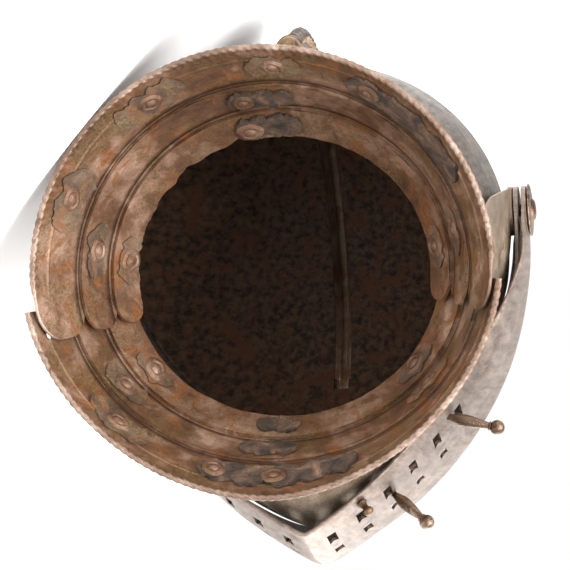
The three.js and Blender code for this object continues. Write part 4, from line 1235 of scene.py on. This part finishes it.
# Pivots with petalled rosettes
def build_pivot(side):
    inside = float(skull_section(PIVOT_HEIGHT, PLATE)[0]) - 1.9
    outside = VENTAIL_WIDE + SEAT
    head = [
        [0.8, 0], [1, 0.1], [1, 0.8], [0.9, 1.5], [0.75, 1.9], [0.6, 1.8], [0.46, 1.4], [0.42, 2.4],
        [0.34, 3.4], [0.2, 3.9], [0, 4.0],
    ]
    profile = [
        [0, inside - 2.2], [4, inside - 2.1], [6, inside - 1.4], [6.4, inside], [3.2, inside], [3.2, outside],
    ] + [[ROSETTE * share, outside + rise] for share, rise in head]
    def shape(radius, height, angle):
        petal = np.abs(np.cos(angle * 4)) ** 0.6
        wide = smooth(radius, ROSETTE * 0.45, ROSETTE * 0.95) * (height > outside - 0.2)
        sunk = wide * 0.35 * (petal - 1) * (height > outside + 0.5)
        return radius * (1 - wide * 0.11 * (1 - petal)), height + sunk
    name = "pivot_right" if side > 0 else "pivot_left"
    thing = lathe(name + "_rosette", rounded(profile, 0.3), 128, pivot_place(side), [BRONZE], shape)
    finish_piece(thing, "skull", "steel", name, angle=60)


build_pivot(1)
build_pivot(-1)


def build_peg(name, profile, material, slot):
    point, _, out = on_ventail(*PEGS[name])
    out = unit(np.array(PEG_AIM.get(name, out)))
    thing = lathe(name + "_turned", profile, 40, stand(point, out), [material])
    finish_piece(thing, "ventail", slot, name, angle=55)


def peg_profile():
    turns = np.radians(np.linspace(-62, 90, 14))
    ball = np.c_[PEG_BALL * np.cos(turns), PEG_LENGTH + PEG_BALL * np.sin(turns)]
    stem = [
        [0, -2.8], [1.5, -2.8], [1.5, 0.4], [1.8, 1.2], [2.2, 3.0], [2.9, 5.6], [3.2, 8.4], [3.1, 11.0],
        [2.6, 15.0], [2.0, 18.6], [1.7, 20.4], [1.8, 20.7], [2.4, 21.1], [2.4, 21.5], [1.8, 21.8],
    ]
    return np.concatenate([stem, ball])


for each in ("lifting_peg_rear", "lifting_peg_front"):
    build_peg(each, peg_profile(), BRONZE, "steel")
build_peg("catch_stud", [
    [0, -2.6], [1.5, -2.6], [1.5, 0.6], [2.8, 0.6], [2.9, 1.0], [2.2, 1.8], [1.7, 3.2], [1.7, 4.4],
    [2.5, 5.4], [2.8, 6.3], [2.5, 7.4], [1.5, 8.2], [0, 8.4],
], BRASS, "brass")

# Floor, light and camera
corners = [[-4, -4, 0], [4, -4, 0], [4, 4, 0], [-4, 4, 0]]
floor = mesh_object("floor", corners, [[0, 1, 2, 3]], [], in_row=True)
paint = bpy.data.materials.new("pale_floor")
paint.use_nodes = True
matt = paint.node_tree.nodes["Principled BSDF"].inputs
matt["Base Color"].default_value = (0.98, 0.98, 0.98, 1)
matt["Roughness"].default_value = 0.9
floor.data.materials.append(paint)

world = bpy.data.worlds.new("studio")
world.use_nodes = True
sky = world.node_tree.nodes["Background"].inputs
sky["Color"].default_value = (1, 1, 1, 1)
sky["Strength"].default_value = 1.0
bpy.context.scene.world = world
bpy.context.scene.view_settings.view_transform = "Standard"


def aim(thing, place, *axes):
    turn = Matrix(np.stack(axes, 1).tolist()).to_4x4()
    thing.matrix_world = Matrix.Translation(place.tolist()) @ turn


# Camera fitted to the photograph: its directions and distance in the helmet's frame
TILT, ROLL = math.radians(8.4), math.radians(4.1)
DISTANCE, SCALE = 1500.0, 2.07  # millimetres, pixels a millimetre
FOCAL = SCALE * DISTANCE
PICTURE = 570
ORIGIN_AT = np.array([266.0, 272.0])
right0 = np.array([math.cos(ROLL), math.sin(ROLL), 0])
down = np.array([-math.sin(ROLL), math.cos(ROLL), 0])
right = right0 * math.cos(TILT) + np.array([0, 0, math.sin(TILT)])
ahead = -right0 * math.sin(TILT) + np.array([0, 0, math.cos(TILT)])
offset = (ORIGIN_AT - PICTURE / 2) * DISTANCE / FOCAL
eye = -DISTANCE * ahead - offset[0] * right - offset[1] * down
lens = bpy.data.cameras.new("camera")
lens.sensor_width = 36
lens.lens = FOCAL / PICTURE * lens.sensor_width
lens.clip_start, lens.clip_end = 0.05, 30
camera = linked("camera", lens)
aim(camera, to_row(eye), TURN @ right, TURN @ -down, TURN @ -ahead)
bpy.context.scene.camera = camera

MIDDLE = np.array([0, 0, 0.12])


def area_light(name, place, power, size):
    data = bpy.data.lights.new(name, "AREA")
    data.energy, data.size = power, size
    here = np.array(place)
    back = unit(here - MIDDLE)
    side = unit(np.cross([0.0, 0.0, 1.0], back))
    aim(linked(name, data), here, side, np.cross(back, side), back)


area_light("key", (-0.75, -0.85, 1.45), 60, 1.5)
area_light("fill", (-1.1, -1.5, 0.7), 4, 1.1)
area_light("back", (0.9, 0.9, 1.1), 28, 1.5)
